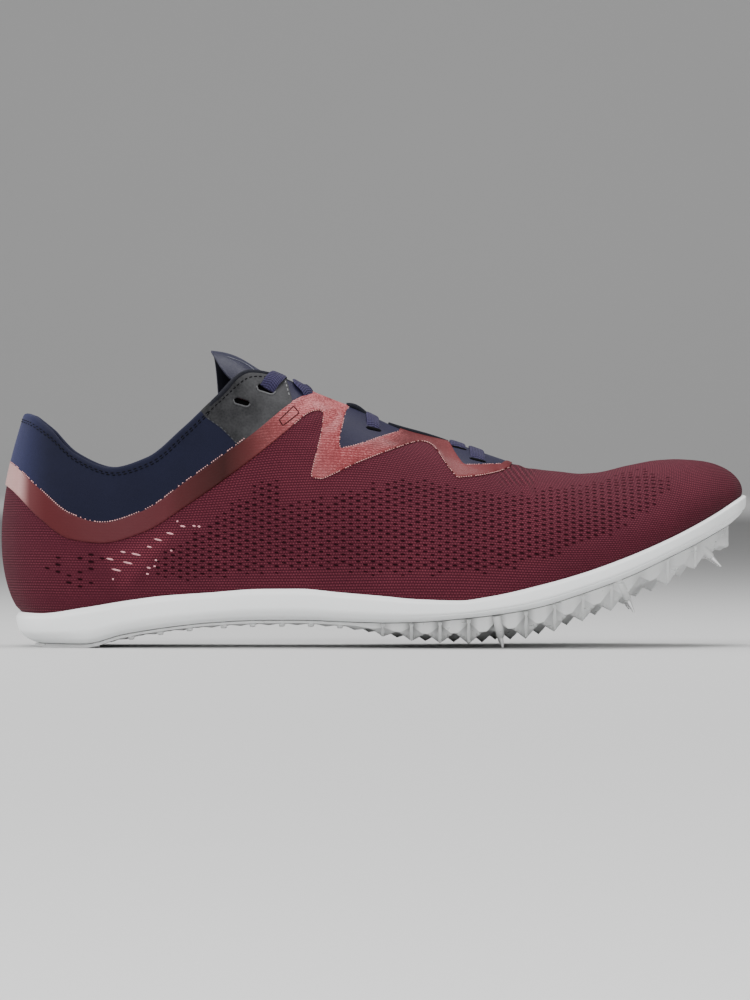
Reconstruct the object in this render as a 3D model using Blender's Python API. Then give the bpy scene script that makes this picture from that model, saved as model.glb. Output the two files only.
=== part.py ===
"""Right-foot track spike: knitted upper, foam midsole, toothed plate and six pins.

All sizes are in millimetres and become metres when a mesh is made. A station is the distance
from the heel along the shoe, side is + on the inner (medial) side of the foot and - on the outer
(lateral) side, and height is measured up from the floor.
"""
import math

import bmesh
import bpy
import numpy as np

# Driving sizes, mm
MILLIMETRE = 0.001
CENTRE_STATION = 143.15
CENTRE_SIDE = 1.65
GAP = 0.3
OVERLAY_GAP = 0.4
TONGUE_GAP = 0.6
FOOT_WALL = 2.0
FILM_THICKNESS = 0.5
PANEL_THICKNESS = 0.8
INSOLE_THICKNESS = 3.0
TONGUE_THICKNESS = 2.4
LACE_THICKNESS = 1.2
SHARP_ANGLE_DEG = 35.0
CUTTER_HALF_SPAN = 70.0

# How finely the upper is faceted: more columns round the heel and toe than along the sides
STEPS_AT_ENDS = 3
STEPS_ALONG_SIDES = 2
HEEL_ENDS_SECTION = 3
TOE_STARTS_SECTION = 19
POINTS_UP_WALL = 8

# The last, heel back to toe tip. Each row is one half-section: where it stands on the sole, where it
# ends at the collar, throat edge or toe ridge, how far its wall swells and how fully it arches over.
SECTION_COLUMNS = ("foot_station", "lateral", "medial", "rim_station", "rim_height", "rim_half",
                   "swell", "arch", "wall")
SECTIONS = (
    (8.0, 0.0, 0.0, 9.8, 88.6, 0.0, 7.6, 0.45, 3.6),
    (11.5, -14.5, 14.5, 12.6, 87.6, 9.5, 6.2, 0.45, 3.6),
    (20.0, -24.5, 24.5, 20.0, 82.4, 17.5, 4.0, 0.45, 3.6),
    (34.0, -30.0, 30.0, 29.5, 73.4, 22.5, 2.5, 0.45, 3.4),
    (52.0, -31.5, 31.5, 43.4, 68.1, 25.5, 1.5, 0.45, 3.2),
    (70.0, -31.5, 30.5, 57.0, 71.9, 26.5, 1.2, 0.48, 3.0),
    (86.0, -31.2, 28.5, 70.5, 82.9, 25.5, 1.2, 0.52, 2.8),
    (100.0, -31.5, 27.0, 83.5, 95.0, 23.0, 1.2, 0.58, 2.6),
    (113.0, -33.0, 26.5, 96.0, 104.2, 18.5, 1.4, 0.64, 2.4),
    (124.0, -35.0, 28.0, 106.0, 102.6, 15.5, 1.6, 0.70, 2.2),
    (136.0, -37.5, 30.5, 120.0, 96.6, 13.5, 1.8, 0.75, 2.0),
    (150.0, -40.5, 34.5, 137.0, 89.8, 12.0, 2.0, 0.80, 2.0),
    (166.0, -43.0, 39.0, 155.0, 82.0, 10.5, 2.2, 0.85, 2.0),
    (182.0, -44.5, 43.5, 173.0, 77.4, 9.0, 2.4, 0.90, 2.0),
    (196.0, -44.5, 46.5, 188.0, 72.4, 7.0, 2.4, 0.95, 2.0),
    (206.0, -43.5, 47.5, 195.5, 69.8, 4.5, 2.4, 0.98, 2.0),
    (214.0, -42.3, 47.8, 199.0, 68.6, 0.0, 2.4, 1.0, 2.0),
    (226.0, -39.5, 47.3, 211.0, 66.9, 0.0, 2.4, 1.0, 2.0),
    (240.0, -35.0, 45.0, 226.0, 66.2, 0.0, 2.4, 1.0, 2.0),
    (254.0, -28.0, 41.0, 240.0, 69.0, 0.0, 2.4, 1.0, 2.0),
    (266.0, -19.0, 35.0, 251.0, 71.0, 0.0, 2.0, 1.0, 2.0),
    (275.5, -8.0, 27.0, 258.0, 71.4, 0.0, 1.6, 1.0, 2.0),
    (281.5, 1.0, 18.5, 262.0, 71.2, 0.0, 1.2, 1.0, 2.0),
    (283.6, 9.5, 9.5, 264.0, 71.0, 0.0, 0.8, 1.0, 2.0),
)
THROAT_END_SECTION = 16
SWELL_LOWNESS = 0.68

# Middle line of the throat and toe, which curves to the inner side
MIDLINE_COLUMNS = ("station", "side")
MIDLINE = ((0.0, 0.0), (100.0, 0.0), (160.0, 2.0), (199.0, 4.0), (226.0, 6.5), (250.0, 8.6), (290.0, 9.6))

# The sole, heel to toe: height of the foam's top and bottom edges, thickness of the plate under it,
# and how far the plate's teeth hang below that
SOLE_COLUMNS = ("station", "top", "bottom", "plate", "tooth")
SOLE = (
    (5.0, 13.4, 1.6, 1.3, 0.0),
    (16.0, 13.0, 1.6, 1.3, 0.0),
    (33.0, 15.3, 1.6, 1.3, 0.0),
    (48.0, 17.8, 5.2, 1.0, 0.9),
    (64.0, 19.9, 7.8, 0.9, 0.9),
    (80.0, 21.0, 9.6, 0.9, 0.9),
    (100.0, 22.4, 10.6, 0.9, 0.9),
    (115.0, 22.5, 10.7, 0.9, 0.9),
    (130.0, 21.2, 10.2, 1.0, 1.2),
    (147.0, 19.8, 9.8, 2.6, 2.6),
    (158.0, 18.8, 10.0, 3.9, 3.1),
    (175.0, 18.3, 11.3, 5.0, 4.2),
    (187.0, 19.9, 12.6, 5.6, 4.8),
    (204.0, 23.7, 15.5, 5.8, 5.0),
    (221.0, 28.4, 20.6, 5.6, 4.8),
    (238.0, 34.4, 26.7, 5.4, 4.8),
    (255.0, 41.6, 34.4, 5.0, 5.0),
    (272.0, 50.3, 42.8, 4.8, 3.0),
    (281.0, 55.8, 47.9, 8.6, 0.5),
    (288.0, 60.0, 52.0, 8.6, 0.5),
)

# Rings up the side of the foam. Columns: share of its height, outset from the upper's foot
FOAM_RINGS = ((0.0, -3.6), (0.14, -0.6), (0.42, 1.6), (0.8, 1.8), (1.0, 0.6))
HEEL_UNDERCUT = 3.6
HEEL_UNDERCUT_END = 30.0

# Plate and the staggered teeth under it
PLATE_EDGE_SAMPLES = 200
HEEL_PAD_ROWS = 6
TOOTH_PITCH = 11.0
TEETH_ACROSS = 4
HEEL_PAD_START = 13.5
HEEL_PAD_END = 33.0
LAST_TOOTH_ROW = 281.0
PLATE_FRONT = 278.4
PLATE_INSET = 0.6

# Pins, the rear pair standing on the floor by the edge of a tilted tip. Columns: name, station and
# side of the post's root, station, side and height of the pin's tip
STANDING_TIP = 0.09
PINS = (
    ("pin_lateral_rear", 190.1, -31.0, 191.6, -31.0, STANDING_TIP),
    ("pin_lateral_middle", 237.6, -22.0, 241.4, -22.0, 13.4),
    ("pin_lateral_front", 269.2, -3.0, 275.3, -3.0, 30.4),
    ("pin_medial_rear", 190.1, 33.0, 191.6, 33.0, STANDING_TIP),
    ("pin_medial_middle", 237.6, 35.0, 241.4, 35.0, 13.4),
    ("pin_medial_front", 269.2, 22.0, 275.3, 22.0, 30.4),
)

# A pin's profile from its tip: a cone on a small flange. Columns: radius, distance from the tip
PIN_SIDES = 8
PIN_PROFILE = ((0.35, 0.0), (1.25, 5.4), (1.5, 5.5), (1.5, 6.1), (0.0, 6.1))
POST_ROOT_RADIUS = 2.5
POST_END_RADIUS = 1.6
POST_SINK = 1.4
PIN_CLEARANCE = 7.0

# Film band and its lacing arms, seen from the side
FILM_BAND_COLUMNS = ("station", "lower", "upper")
FILM_BAND = (
    (-6.0, 66.0, 73.5),
    (5.0, 59.9, 70.1),
    (16.0, 49.3, 60.8),
    (28.0, 41.2, 51.0),
    (40.0, 39.7, 47.6),
    (56.0, 43.9, 52.3),
    (72.0, 53.8, 63.4),
    (96.5, 71.3, 81.2),
    (111.0, 83.0, 92.6),
)
FILM_BAND_STEP = 5.0
FILM_END_SECTION = 15.5
FILM_LOWEST_ROW = 2

# Corners of the arms. Columns: station, height
FILM_ARMS_UPPER = ((119.0, 99.0), (133.2, 96.0), (129.3, 75.6), (150.5, 81.4), (157.4, 84.0), (172.3, 80.0),
                   (177.6, 68.8), (197.0, 69.4))
FILM_ARMS_LOWER = ((189.9, 66.5), (174.0, 64.2), (167.4, 75.4), (162.7, 78.3), (156.6, 77.4), (137.0, 70.3),
                   (123.4, 64.2), (119.2, 64.9), (121.6, 87.6), (118.6, 88.8))

# Eyestay patch and the collar panel, seen from the side. Columns: station, height
PATCH_REAR = ((76.6, 88.3), (84.4, 82.9), (89.6, 77.6))
PATCH_FRONT = ((111.6, 94.6), (118.0, 100.0))
TOP_CLEAR_HEIGHT = 130.0
PATCH_SECTIONS = (6.0, 10.5)
PATCH_LOWEST_ROW = 3
PATCH_BAND = (94.0, 110.0)
COLLAR_END_SECTION = 8.0
COLLAR_LOWEST_ROW = 2
COLLAR_BAND_END = 86.0

# Lace slots. Columns: station, height, length, width, slope in degrees
SLOT_END_STEPS = 3
SLOTS = ((92.8, 93.0, 6.0, 2.2, -16.0), (101.9, 97.9, 6.8, 2.6, -18.0))

# Tongue: the part under the throat follows the upper, and its free tip stands above the collar
TONGUE_ROWS_UP_WALL = 3
TONGUE_FIRST_SECTION = 8.5
TONGUE_LAST_SECTION = 15.5
TONGUE_CROWN_COLUMNS = ("section", "rise")
TONGUE_CROWN = ((8.6, 2.6), (10.0, 2.4), (13.0, 1.6), (16.0, 0.0), (17.0, 0.0))

# Rows across the tongue's tip, whose medial edge hangs down inside the collar. Columns: station, height
# and half width, then how far each edge drops and slides forward, lateral edge first
TONGUE_TIP = (
    (97.8, 106.4, 14.5, 5.0, 0.5, 8.0, 0.0),
    (92.5, 109.8, 15.0, 6.5, 1.5, 15.0, 0.0),
    (86.5, 112.2, 15.0, 8.5, 3.5, 19.0, 0.8),
    (80.7, 112.9, 12.0, 7.0, 4.4, 18.0, 2.4),
)
TONGUE_LEAN = (0.55, 0.0, 0.83)
TONGUE_ACROSS = 11

# Lace crossings. Columns: name, section of the throat's edge, width, share of the wall where the
# crossing ends, lift off the upper
LACES = (
    ("lace_bar_1", 8.97, 6.0, 0.92, 1.4),
    ("lace_bar_2", 9.70, 6.0, 0.93, 1.4),
    ("lace_bar_3", 11.30, 5.4, 0.90, 0.3),
    ("lace_bar_4", 13.08, 5.4, 0.94, 1.1),
    ("lace_bar_5", 13.58, 5.4, 0.92, 0.4),
)
LACE_STEPS = 4
LACE_CROWN = 0.8

# Colours from the photo: red, green, blue, roughness, metallic
FINISHES = {
    "knit_burgundy": (0.115, 0.018, 0.030, 0.85, 0.0),
    "panel_navy": (0.018, 0.020, 0.052, 0.80, 0.0),
    "film_red": (0.190, 0.032, 0.034, 0.35, 0.0),
    "patch_grey": (0.048, 0.048, 0.052, 0.70, 0.0),
    "lace_purple": (0.050, 0.046, 0.140, 0.85, 0.0),
    "foam_white": (0.68, 0.70, 0.70, 0.60, 0.0),
    "plate_clear": (0.42, 0.45, 0.44, 0.35, 0.0),
    "pin_metal": (0.70, 0.70, 0.70, 0.30, 1.0),
    "liner_navy": (0.020, 0.022, 0.045, 0.90, 0.0),
}


def column(table, names, name):
    """One named column of a table, as an array."""
    return np.array([row[names.index(name)] for row in table], dtype=float)


def monotone_slopes(at, values):
    """Slopes that keep a smooth curve from overshooting its own points."""
    widths = np.diff(at)
    secants = np.diff(values) / widths
    slopes = np.zeros(len(values))
    slopes[0], slopes[-1] = secants[0], secants[-1]
    for i in range(1, len(values) - 1):
        before, after = secants[i - 1], secants[i]
        if before * after > 0.0:
            long_before = 2.0 * widths[i] + widths[i - 1]
            long_after = widths[i] + 2.0 * widths[i - 1]
            slopes[i] = (long_before + long_after) / (long_before / before + long_after / after)
    return slopes


def smooth(at, values, where):
    """Smooth curve through a table's points, read at one or many places."""
    at, values = np.asarray(at, dtype=float), np.asarray(values, dtype=float)
    slopes = monotone_slopes(at, values)
    where = np.clip(np.asarray(where, dtype=float), at[0], at[-1])
    cell = np.clip(np.searchsorted(at, where, side="right") - 1, 0, len(at) - 2)
    width = at[cell + 1] - at[cell]
    t = (where - at[cell]) / width
    return ((1 + 2 * t) * (1 - t) ** 2 * values[cell] + t * (1 - t) ** 2 * width * slopes[cell]
            + t ** 2 * (3 - 2 * t) * values[cell + 1] + t ** 2 * (t - 1) * width * slopes[cell + 1])


def sole_value(name, station):
    """One of the sole's heights or thicknesses at a station."""
    return smooth(column(SOLE, SOLE_COLUMNS, "station"), column(SOLE, SOLE_COLUMNS, name), station)


def midline(station):
    """Side position of the throat's and toe's middle line."""
    at = column(MIDLINE, MIDLINE_COLUMNS, "station")
    return smooth(at, column(MIDLINE, MIDLINE_COLUMNS, "side"), station)


# The upper's own function: a loop of half-sections, out along the lateral side and back along the medial
LAST_SECTION = len(SECTIONS) - 1
LOOP_SECTIONS = 2 * LAST_SECTION
LOOP_PAD = 3


def loop_value(lateral, medial, around):
    """Reads a column round the whole shoe: lateral rows from heel to toe, then medial rows back."""
    whole = np.concatenate([lateral, medial[-2:0:-1]])
    padded = np.concatenate([whole[-LOOP_PAD:], whole, whole[:LOOP_PAD + 1]])
    at = np.arange(-LOOP_PAD, LOOP_SECTIONS + LOOP_PAD + 1)
    return smooth(at, padded, np.mod(around, LOOP_SECTIONS))


def section_value(name, around):
    """A section column that is the same on both sides."""
    values = column(SECTIONS, SECTION_COLUMNS, name)
    return loop_value(values, values, around)


def foot_line(around):
    """Plan line where the upper stands on the sole, as stations and sides."""
    lateral = column(SECTIONS, SECTION_COLUMNS, "lateral")
    medial = column(SECTIONS, SECTION_COLUMNS, "medial")
    return section_value("foot_station", around), loop_value(lateral, medial, around)


def outward(around):
    """Level unit direction pointing out of the foot line."""
    step = 0.05
    ahead, behind = foot_line(around + step), foot_line(around - step)
    along = np.stack([ahead[0] - behind[0], ahead[1] - behind[1]], axis=-1)
    along /= np.linalg.norm(along, axis=-1, keepdims=True)
    return along[..., 1], -along[..., 0]


def rim_line(around):
    """Points where the half-sections end: collar edge, throat edge, then the toe's ridge."""
    half = column(SECTIONS, SECTION_COLUMNS, "rim_half")
    station = section_value("rim_station", around)
    side = midline(station) + loop_value(-half, half, around)
    return station, side, section_value("rim_height", around)


def wall_point(around, share):
    """Point on the outside of the upper: around the loop, and a share of the way up its wall."""
    around, share = np.broadcast_arrays(np.asarray(around, dtype=float), np.asarray(share, dtype=float))
    foot_station, foot_side = foot_line(around)
    rim_station, rim_side, rim_height = rim_line(around)
    foot_height = sole_value("top", foot_station) + GAP
    end_angle = 0.5 * math.pi * section_value("arch", around)
    inward = (1.0 - np.cos(share * end_angle)) / (1.0 - np.cos(end_angle))
    rise = np.sin(share * end_angle) / np.sin(end_angle)
    swell = section_value("swell", around) * np.sin(math.pi * np.power(share, SWELL_LOWNESS))
    out_station, out_side = outward(around)
    station = foot_station + (rim_station - foot_station) * inward + out_station * swell
    side = foot_side + (rim_side - foot_side) * inward + out_side * swell
    return np.stack([station, side, foot_height + (rim_height - foot_height) * rise], axis=-1)


def wall_normal(around, share):
    """Unit direction out of the wall, averaged over the two sides on the toe's ridge."""
    around, share = np.broadcast_arrays(np.asarray(around, dtype=float), np.asarray(share, dtype=float))
    step = 0.02

    def facing(loop):
        low, high = np.clip(share - step, 0.0, 1.0), np.clip(share + step, 0.0, 1.0)
        up = wall_point(loop, high) - wall_point(loop, low)
        along = wall_point(loop + step, share) - wall_point(loop - step, share)
        across = np.cross(along, up)
        return across / np.linalg.norm(across, axis=-1, keepdims=True)

    normal = facing(around)
    folded = np.minimum(around % LOOP_SECTIONS, LOOP_SECTIONS - around % LOOP_SECTIONS)
    on_ridge = (folded >= THROAT_END_SECTION) & (share >= 1.0)
    both = normal + facing(LOOP_SECTIONS - around)
    both /= np.linalg.norm(both, axis=-1, keepdims=True)
    return np.where(on_ridge[..., None], both, normal)


def wall_thickness(around, share):
    """Thickness of the upper's wall, growing from the foot to its padded or bound edge."""
    return FOOT_WALL + (section_value("wall", around) - FOOT_WALL) * np.asarray(share)


def off_wall(around, share, distance):
    """Point off the upper's outside by a distance, + outwards."""
    return wall_point(around, share) + wall_normal(around, share) * np.asarray(distance)[..., None]


# Making meshes
def finish(name):
    """Material of one of the shoe's finishes."""
    existing = bpy.data.materials.get(name)
    if existing:
        return existing
    red, green, blue, roughness, metallic = FINISHES[name]
    material = bpy.data.materials.new(name)
    material.use_nodes = True
    shader = material.node_tree.nodes["Principled BSDF"]
    shader.inputs["Base Color"].default_value = (red, green, blue, 1.0)
    shader.inputs["Roughness"].default_value = roughness
    shader.inputs["Metallic"].default_value = metallic
    return material


def make_object(name, points, faces, finish_name):
    """Closed mesh object from points in millimetres."""
    offset = np.array([CENTRE_STATION, CENTRE_SIDE, 0.0])
    placed = (np.asarray(points, dtype=float) - offset) * MILLIMETRE
    mesh = bpy.data.meshes.new(name)
    mesh.from_pydata([tuple(point) for point in placed], [], [tuple(face) for face in faces])
    work = bmesh.new()
    work.from_mesh(mesh)
    bmesh.ops.recalc_face_normals(work, faces=work.faces)
    work.to_mesh(mesh)
    work.free()
    mesh.shade_smooth()
    mesh.set_sharp_from_angle(angle=math.radians(SHARP_ANGLE_DEG))
    mesh.materials.append(finish(finish_name))
    made = bpy.data.objects.new(name, mesh)
    bpy.context.collection.objects.link(made)
    return made


def thicken(front, back, faces):
    """Closes a sheet and its parallel back into one body, with walls along the open edges."""
    count = len(front)
    used = {}
    for face in faces:
        for start, end in zip(face, face[1:] + face[:1]):
            key = frozenset((start, end))
            used[key] = None if key in used else (start, end)
    solid = list(faces)
    solid += [tuple(index + count for index in reversed(face)) for face in faces]
    solid += [(end, start, start + count, end + count) for start, end in (e for e in used.values() if e)]
    return np.concatenate([front, back]), solid


def grid_faces(columns, rows):
    """Quads of a grid whose points run up each column in turn."""
    return [(c * rows + r, (c + 1) * rows + r, (c + 1) * rows + r + 1, c * rows + r + 1)
            for c in range(columns - 1) for r in range(rows - 1)]


def as_cutter(made):
    """Keeps an object as a tool of another one's Boolean, not as a piece."""
    made.hide_render = True
    made.display_type = "WIRE"
    return made


def cut(made, tool, operation):
    """Adds a Boolean to an object."""
    modifier = made.modifiers.new(tool.name, "BOOLEAN")
    modifier.operation = operation
    modifier.solver = "EXACT"
    modifier.object = as_cutter(tool)


def side_prism(name, outline):
    """Tall bar across the whole shoe with an outline drawn in side view."""
    count = len(outline)
    near = [(station, -CUTTER_HALF_SPAN, height) for station, height in outline]
    far = [(station, CUTTER_HALF_SPAN, height) for station, height in outline]
    faces = [tuple(range(count)), tuple(range(2 * count - 1, count - 1, -1))]
    faces += [(i, (i + 1) % count, (i + 1) % count + count, i + count) for i in range(count)]
    return make_object(name, near + far, faces, "film_red")


# The upper and the pieces laid on it
def side_columns():
    """Places from heel to toe where the upper's facets have their columns."""
    places = []
    for section in range(LAST_SECTION):
        at_end = section < HEEL_ENDS_SECTION or section >= TOE_STARTS_SECTION
        steps = STEPS_AT_ENDS if at_end else STEPS_ALONG_SIDES
        places += [section + step / steps for step in range(steps)]
    return places + [float(LAST_SECTION)]


def upper_loop():
    """Places all round the loop, lateral side out and medial side back."""
    lateral = side_columns()
    return np.array(lateral + [LOOP_SECTIONS - place for place in lateral[-2:0:-1]])


def columns_between(first, last):
    """The upper's own columns in a stretch of the loop, which may start before the heel's middle."""
    places = np.concatenate([upper_loop() - LOOP_SECTIONS, upper_loop()])
    return places[(places >= first) & (places <= last)]


def wall_shares():
    """Shares of the way up the wall where the upper's facets have their rows."""
    return np.linspace(0.0, 1.0, POINTS_UP_WALL)


def upper_sheet_faces(loop, rows):
    """Quads of the upper's wall, with the two sides of the toe's ridge sharing their points."""
    count = len(loop)

    def index(c, r):
        c %= count
        if r == rows - 1 and loop[c] > LAST_SECTION and LOOP_SECTIONS - loop[c] >= THROAT_END_SECTION:
            c = count - c
        return c * rows + r

    return [(index(c, r), index(c + 1, r), index(c + 1, r + 1), index(c, r + 1))
            for c in range(count) for r in range(rows - 1)]


def drop_unused(points, faces):
    """Leaves out points that no face uses."""
    used = sorted({index for face in faces for index in face})
    place = {old: new for new, old in enumerate(used)}
    return points[used], [tuple(place[index] for index in face) for face in faces]


def build_upper():
    """Hollow knitted wall, open at the collar, the throat and underneath."""
    loop, shares = upper_loop(), wall_shares()
    around, share = (grid.ravel() for grid in np.meshgrid(loop, shares, indexing="ij"))
    outside = wall_point(around, share)
    inside = off_wall(around, share, -wall_thickness(around, share))
    at_foot = share == 0.0
    inside[at_foot, 2] = sole_value("top", inside[at_foot, 0]) + GAP
    points, faces = thicken(outside, inside, upper_sheet_faces(loop, len(shares)))
    points, faces = drop_unused(points, faces)
    upper = make_object("upper", points, faces, "knit_burgundy")
    cut_slots(upper)
    return upper


def overlay_shell(name, first, last, lowest, thickness, finish_name):
    """Thin shell over the upper between two places of the loop, ready to be cut to its outline."""
    loop = columns_between(first, last)
    shares = wall_shares()[lowest:]
    around, share = (grid.ravel() for grid in np.meshgrid(loop, shares, indexing="ij"))
    near = off_wall(around, share, np.full(around.shape, OVERLAY_GAP))
    far = off_wall(around, share, np.full(around.shape, OVERLAY_GAP + thickness))
    points, faces = thicken(far, near, grid_faces(len(loop), len(shares)))
    return make_object(name, points, faces, finish_name)


def film_band_edge(name, first, last):
    """Points along one edge of the film band."""
    stations = np.arange(first, last + 0.01, FILM_BAND_STEP)
    at = column(FILM_BAND, FILM_BAND_COLUMNS, "station")
    heights = smooth(at, column(FILM_BAND, FILM_BAND_COLUMNS, name), stations)
    return list(zip(stations, heights))


def build_film():
    """Red film: a band round the heel that becomes zigzag lacing arms along the throat."""
    first, last = FILM_BAND[0][0], FILM_BAND[-1][0]
    outline = film_band_edge("upper", first, last) + list(FILM_ARMS_UPPER) + list(FILM_ARMS_LOWER)
    outline += film_band_edge("lower", first, last)[::-1]
    film = overlay_shell("film_overlay", -FILM_END_SECTION, FILM_END_SECTION, FILM_LOWEST_ROW, FILM_THICKNESS,
                         "film_red")
    cut(film, side_prism("film_outline", outline), "INTERSECT")
    return film


def build_collar_panel():
    """Navy panel round the heel and ankle, from the film's upper edge to the collar's edge."""
    edge = film_band_edge("upper", FILM_BAND[0][0], COLLAR_BAND_END)
    band = [(station, height + GAP) for station, height in edge]
    patch_rear = [(station - 2.0 * GAP, height) for station, height in PATCH_REAR]
    outline = band + patch_rear[::-1]
    outline += [(patch_rear[0][0], TOP_CLEAR_HEIGHT), (FILM_BAND[0][0], TOP_CLEAR_HEIGHT)]
    panel = overlay_shell("collar_panel", -COLLAR_END_SECTION, COLLAR_END_SECTION, COLLAR_LOWEST_ROW,
                          PANEL_THICKNESS, "panel_navy")
    cut(panel, side_prism("collar_outline", outline), "INTERSECT")
    return panel


def slot_outline(station, height, length, width, angle):
    """Side outline of a lace slot: two straight edges with round ends."""
    turn = math.radians(angle)
    along = np.array([math.cos(turn), math.sin(turn)])
    across = np.array([-along[1], along[0]])
    outline = []
    for end in (1.0, -1.0):
        for step in range(SLOT_END_STEPS + 1):
            sweep = math.pi * (step / SLOT_END_STEPS - 0.5)
            reach = 0.5 * (length - width) + 0.5 * width * math.cos(sweep)
            offset = along * reach + across * 0.5 * width * math.sin(sweep)
            outline.append(np.array([station, height]) + end * offset)
    return [tuple(point) for point in outline]


def cut_slots(made):
    """Cuts the lace slots through a piece, on both sides of the shoe."""
    for number, row in enumerate(SLOTS, start=1):
        cut(made, side_prism(f"slot_{number}_{made.name}", slot_outline(*row)), "DIFFERENCE")


def build_eyestays():
    """Dark grey patches at the top of the throat, one on each side, with two lace slots each."""
    band = [(station, height + GAP) for station, height in film_band_edge("upper", *PATCH_BAND)]
    outline = list(PATCH_REAR) + band + list(PATCH_FRONT)
    outline += [(PATCH_FRONT[-1][0], TOP_CLEAR_HEIGHT), (PATCH_REAR[0][0], TOP_CLEAR_HEIGHT)]
    rear, front = PATCH_SECTIONS
    for name, first, last in (("lateral", rear, front), ("medial", -front, -rear)):
        patch = overlay_shell(f"eyestay_{name}", first, last, PATCH_LOWEST_ROW, PANEL_THICKNESS, "patch_grey")
        cut(patch, side_prism(f"eyestay_outline_{name}", outline), "INTERSECT")
        cut_slots(patch)


# The sole
def foam_ring(share, outset, around):
    """Points of one ring round the foam."""
    station, side = foot_line(around)
    out_station, out_side = outward(around)
    at_heel = np.clip(1.0 - station / HEEL_UNDERCUT_END, 0.0, 1.0)
    reach = outset - HEEL_UNDERCUT * at_heel * (1.0 - share) ** 2
    ring_station = station + out_station * reach
    bottom, top = sole_value("bottom", ring_station), sole_value("top", ring_station)
    return np.stack([ring_station, side + out_side * reach, bottom + (top - bottom) * share], axis=-1)


def ladder_faces(start, count):
    """Quads across a ring, from each lateral point to the medial point beside it."""
    half = count // 2
    faces = [(start, start + 1, start + count - 1)]
    for i in range(1, half - 1):
        faces.append((start + i, start + i + 1, start + count - i - 1, start + count - i))
    faces.append((start + half - 1, start + half, start + half + 1))
    return faces


def build_midsole():
    """Foam wedge with a rounded side, from the heel to the raised toe."""
    loop = upper_loop()
    count = len(loop)
    rings = [foam_ring(share, outset, loop) for share, outset in FOAM_RINGS]
    faces = ladder_faces(0, count) + ladder_faces((len(rings) - 1) * count, count)
    for level in range(len(rings) - 1):
        low, high = level * count, (level + 1) * count
        faces += [(low + i, low + (i + 1) % count, high + (i + 1) % count, high + i) for i in range(count)]
    return make_object("midsole", np.concatenate(rings), faces, "foam_white")


def plate_edges(station):
    """Lateral and medial edges of the plate at a station."""
    bottom_share, bottom_outset = FOAM_RINGS[0]
    places = np.linspace(0.0, LAST_SECTION, PLATE_EDGE_SAMPLES)
    lateral = foam_ring(bottom_share, bottom_outset - PLATE_INSET, places)
    medial = foam_ring(bottom_share, bottom_outset - PLATE_INSET, LOOP_SECTIONS - places)
    return np.interp(station, lateral[:, 0], lateral[:, 1]), np.interp(station, medial[:, 0], medial[:, 1])


def plate_stations():
    """Stations of the plate's rows: the flat heel pad, then two rows to a tooth."""
    pad = np.linspace(HEEL_PAD_START, HEEL_PAD_END, HEEL_PAD_ROWS)
    half_pitches = 2 * round((LAST_TOOTH_ROW - HEEL_PAD_END) / TOOTH_PITCH)
    rows = np.linspace(HEEL_PAD_END, LAST_TOOTH_ROW, half_pitches + 1)[1:]
    return np.concatenate([pad, np.minimum(rows, PLATE_FRONT)]), len(pad) - 1


def build_plate():
    """Thin plate under the foam, its underside in staggered four-sided teeth, with a post for each pin."""
    stations, pad_rows = plate_stations()
    across = 2 * TEETH_ACROSS + 1
    lateral, medial = plate_edges(stations)
    spread = np.linspace(0.0, 1.0, across)
    side = lateral[:, None] + (medial - lateral)[:, None] * spread[None, :]
    station = np.repeat(stations[:, None], across, axis=1)
    roof = sole_value("bottom", station) - GAP
    base = roof - sole_value("plate", station)
    row, place = np.indices(station.shape)
    staggered = (row - pad_rows + place // 2) % 2 == 1
    at_tooth = staggered & (row > pad_rows) & (row < len(stations) - 1) & (place % 2 == 1)
    for _, root, axis in pin_axes():
        middle = root + 0.5 * axis
        at_tooth &= np.hypot(station - middle[0], side - middle[1]) > PIN_CLEARANCE
    under = base - np.where(at_tooth, sole_value("tooth", station), 0.0)
    top = np.stack([station, side, roof], axis=-1).reshape(-1, 3)
    bottom = np.stack([station, side, under], axis=-1).reshape(-1, 3)
    faces = []
    for quad in grid_faces(len(stations), across):
        corner = next((k for k in range(4) if at_tooth.ravel()[quad[k]]), 0)
        turned = quad[corner:] + quad[:corner]
        faces += [(turned[0], turned[1], turned[2]), (turned[0], turned[2], turned[3])]
    points, solid = thicken(bottom, top, faces)
    plate = make_object("outsole_plate", points, solid, "plate_clear")
    for name, root, axis in pin_axes():
        length = np.linalg.norm(axis) - PIN_PROFILE[-1][1] - GAP
        profile = ((0.0, -POST_SINK), (POST_ROOT_RADIUS, -POST_SINK), (POST_END_RADIUS, length),
                   (0.0, length))
        post = turned_solid(name.replace("pin", "post"), profile, root, axis, "plate_clear")
        cut(plate, post, "UNION")
    return plate


# The pins
def pin_axes():
    """Name, root point and root-to-tip vector of each pin."""
    for name, root_station, root_side, tip_station, tip_side, tip_height in PINS:
        root_height = sole_value("bottom", root_station) - GAP - sole_value("plate", root_station)
        root = np.array([root_station, root_side, float(root_height)])
        yield name, root, np.array([tip_station, tip_side, tip_height]) - root


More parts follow.
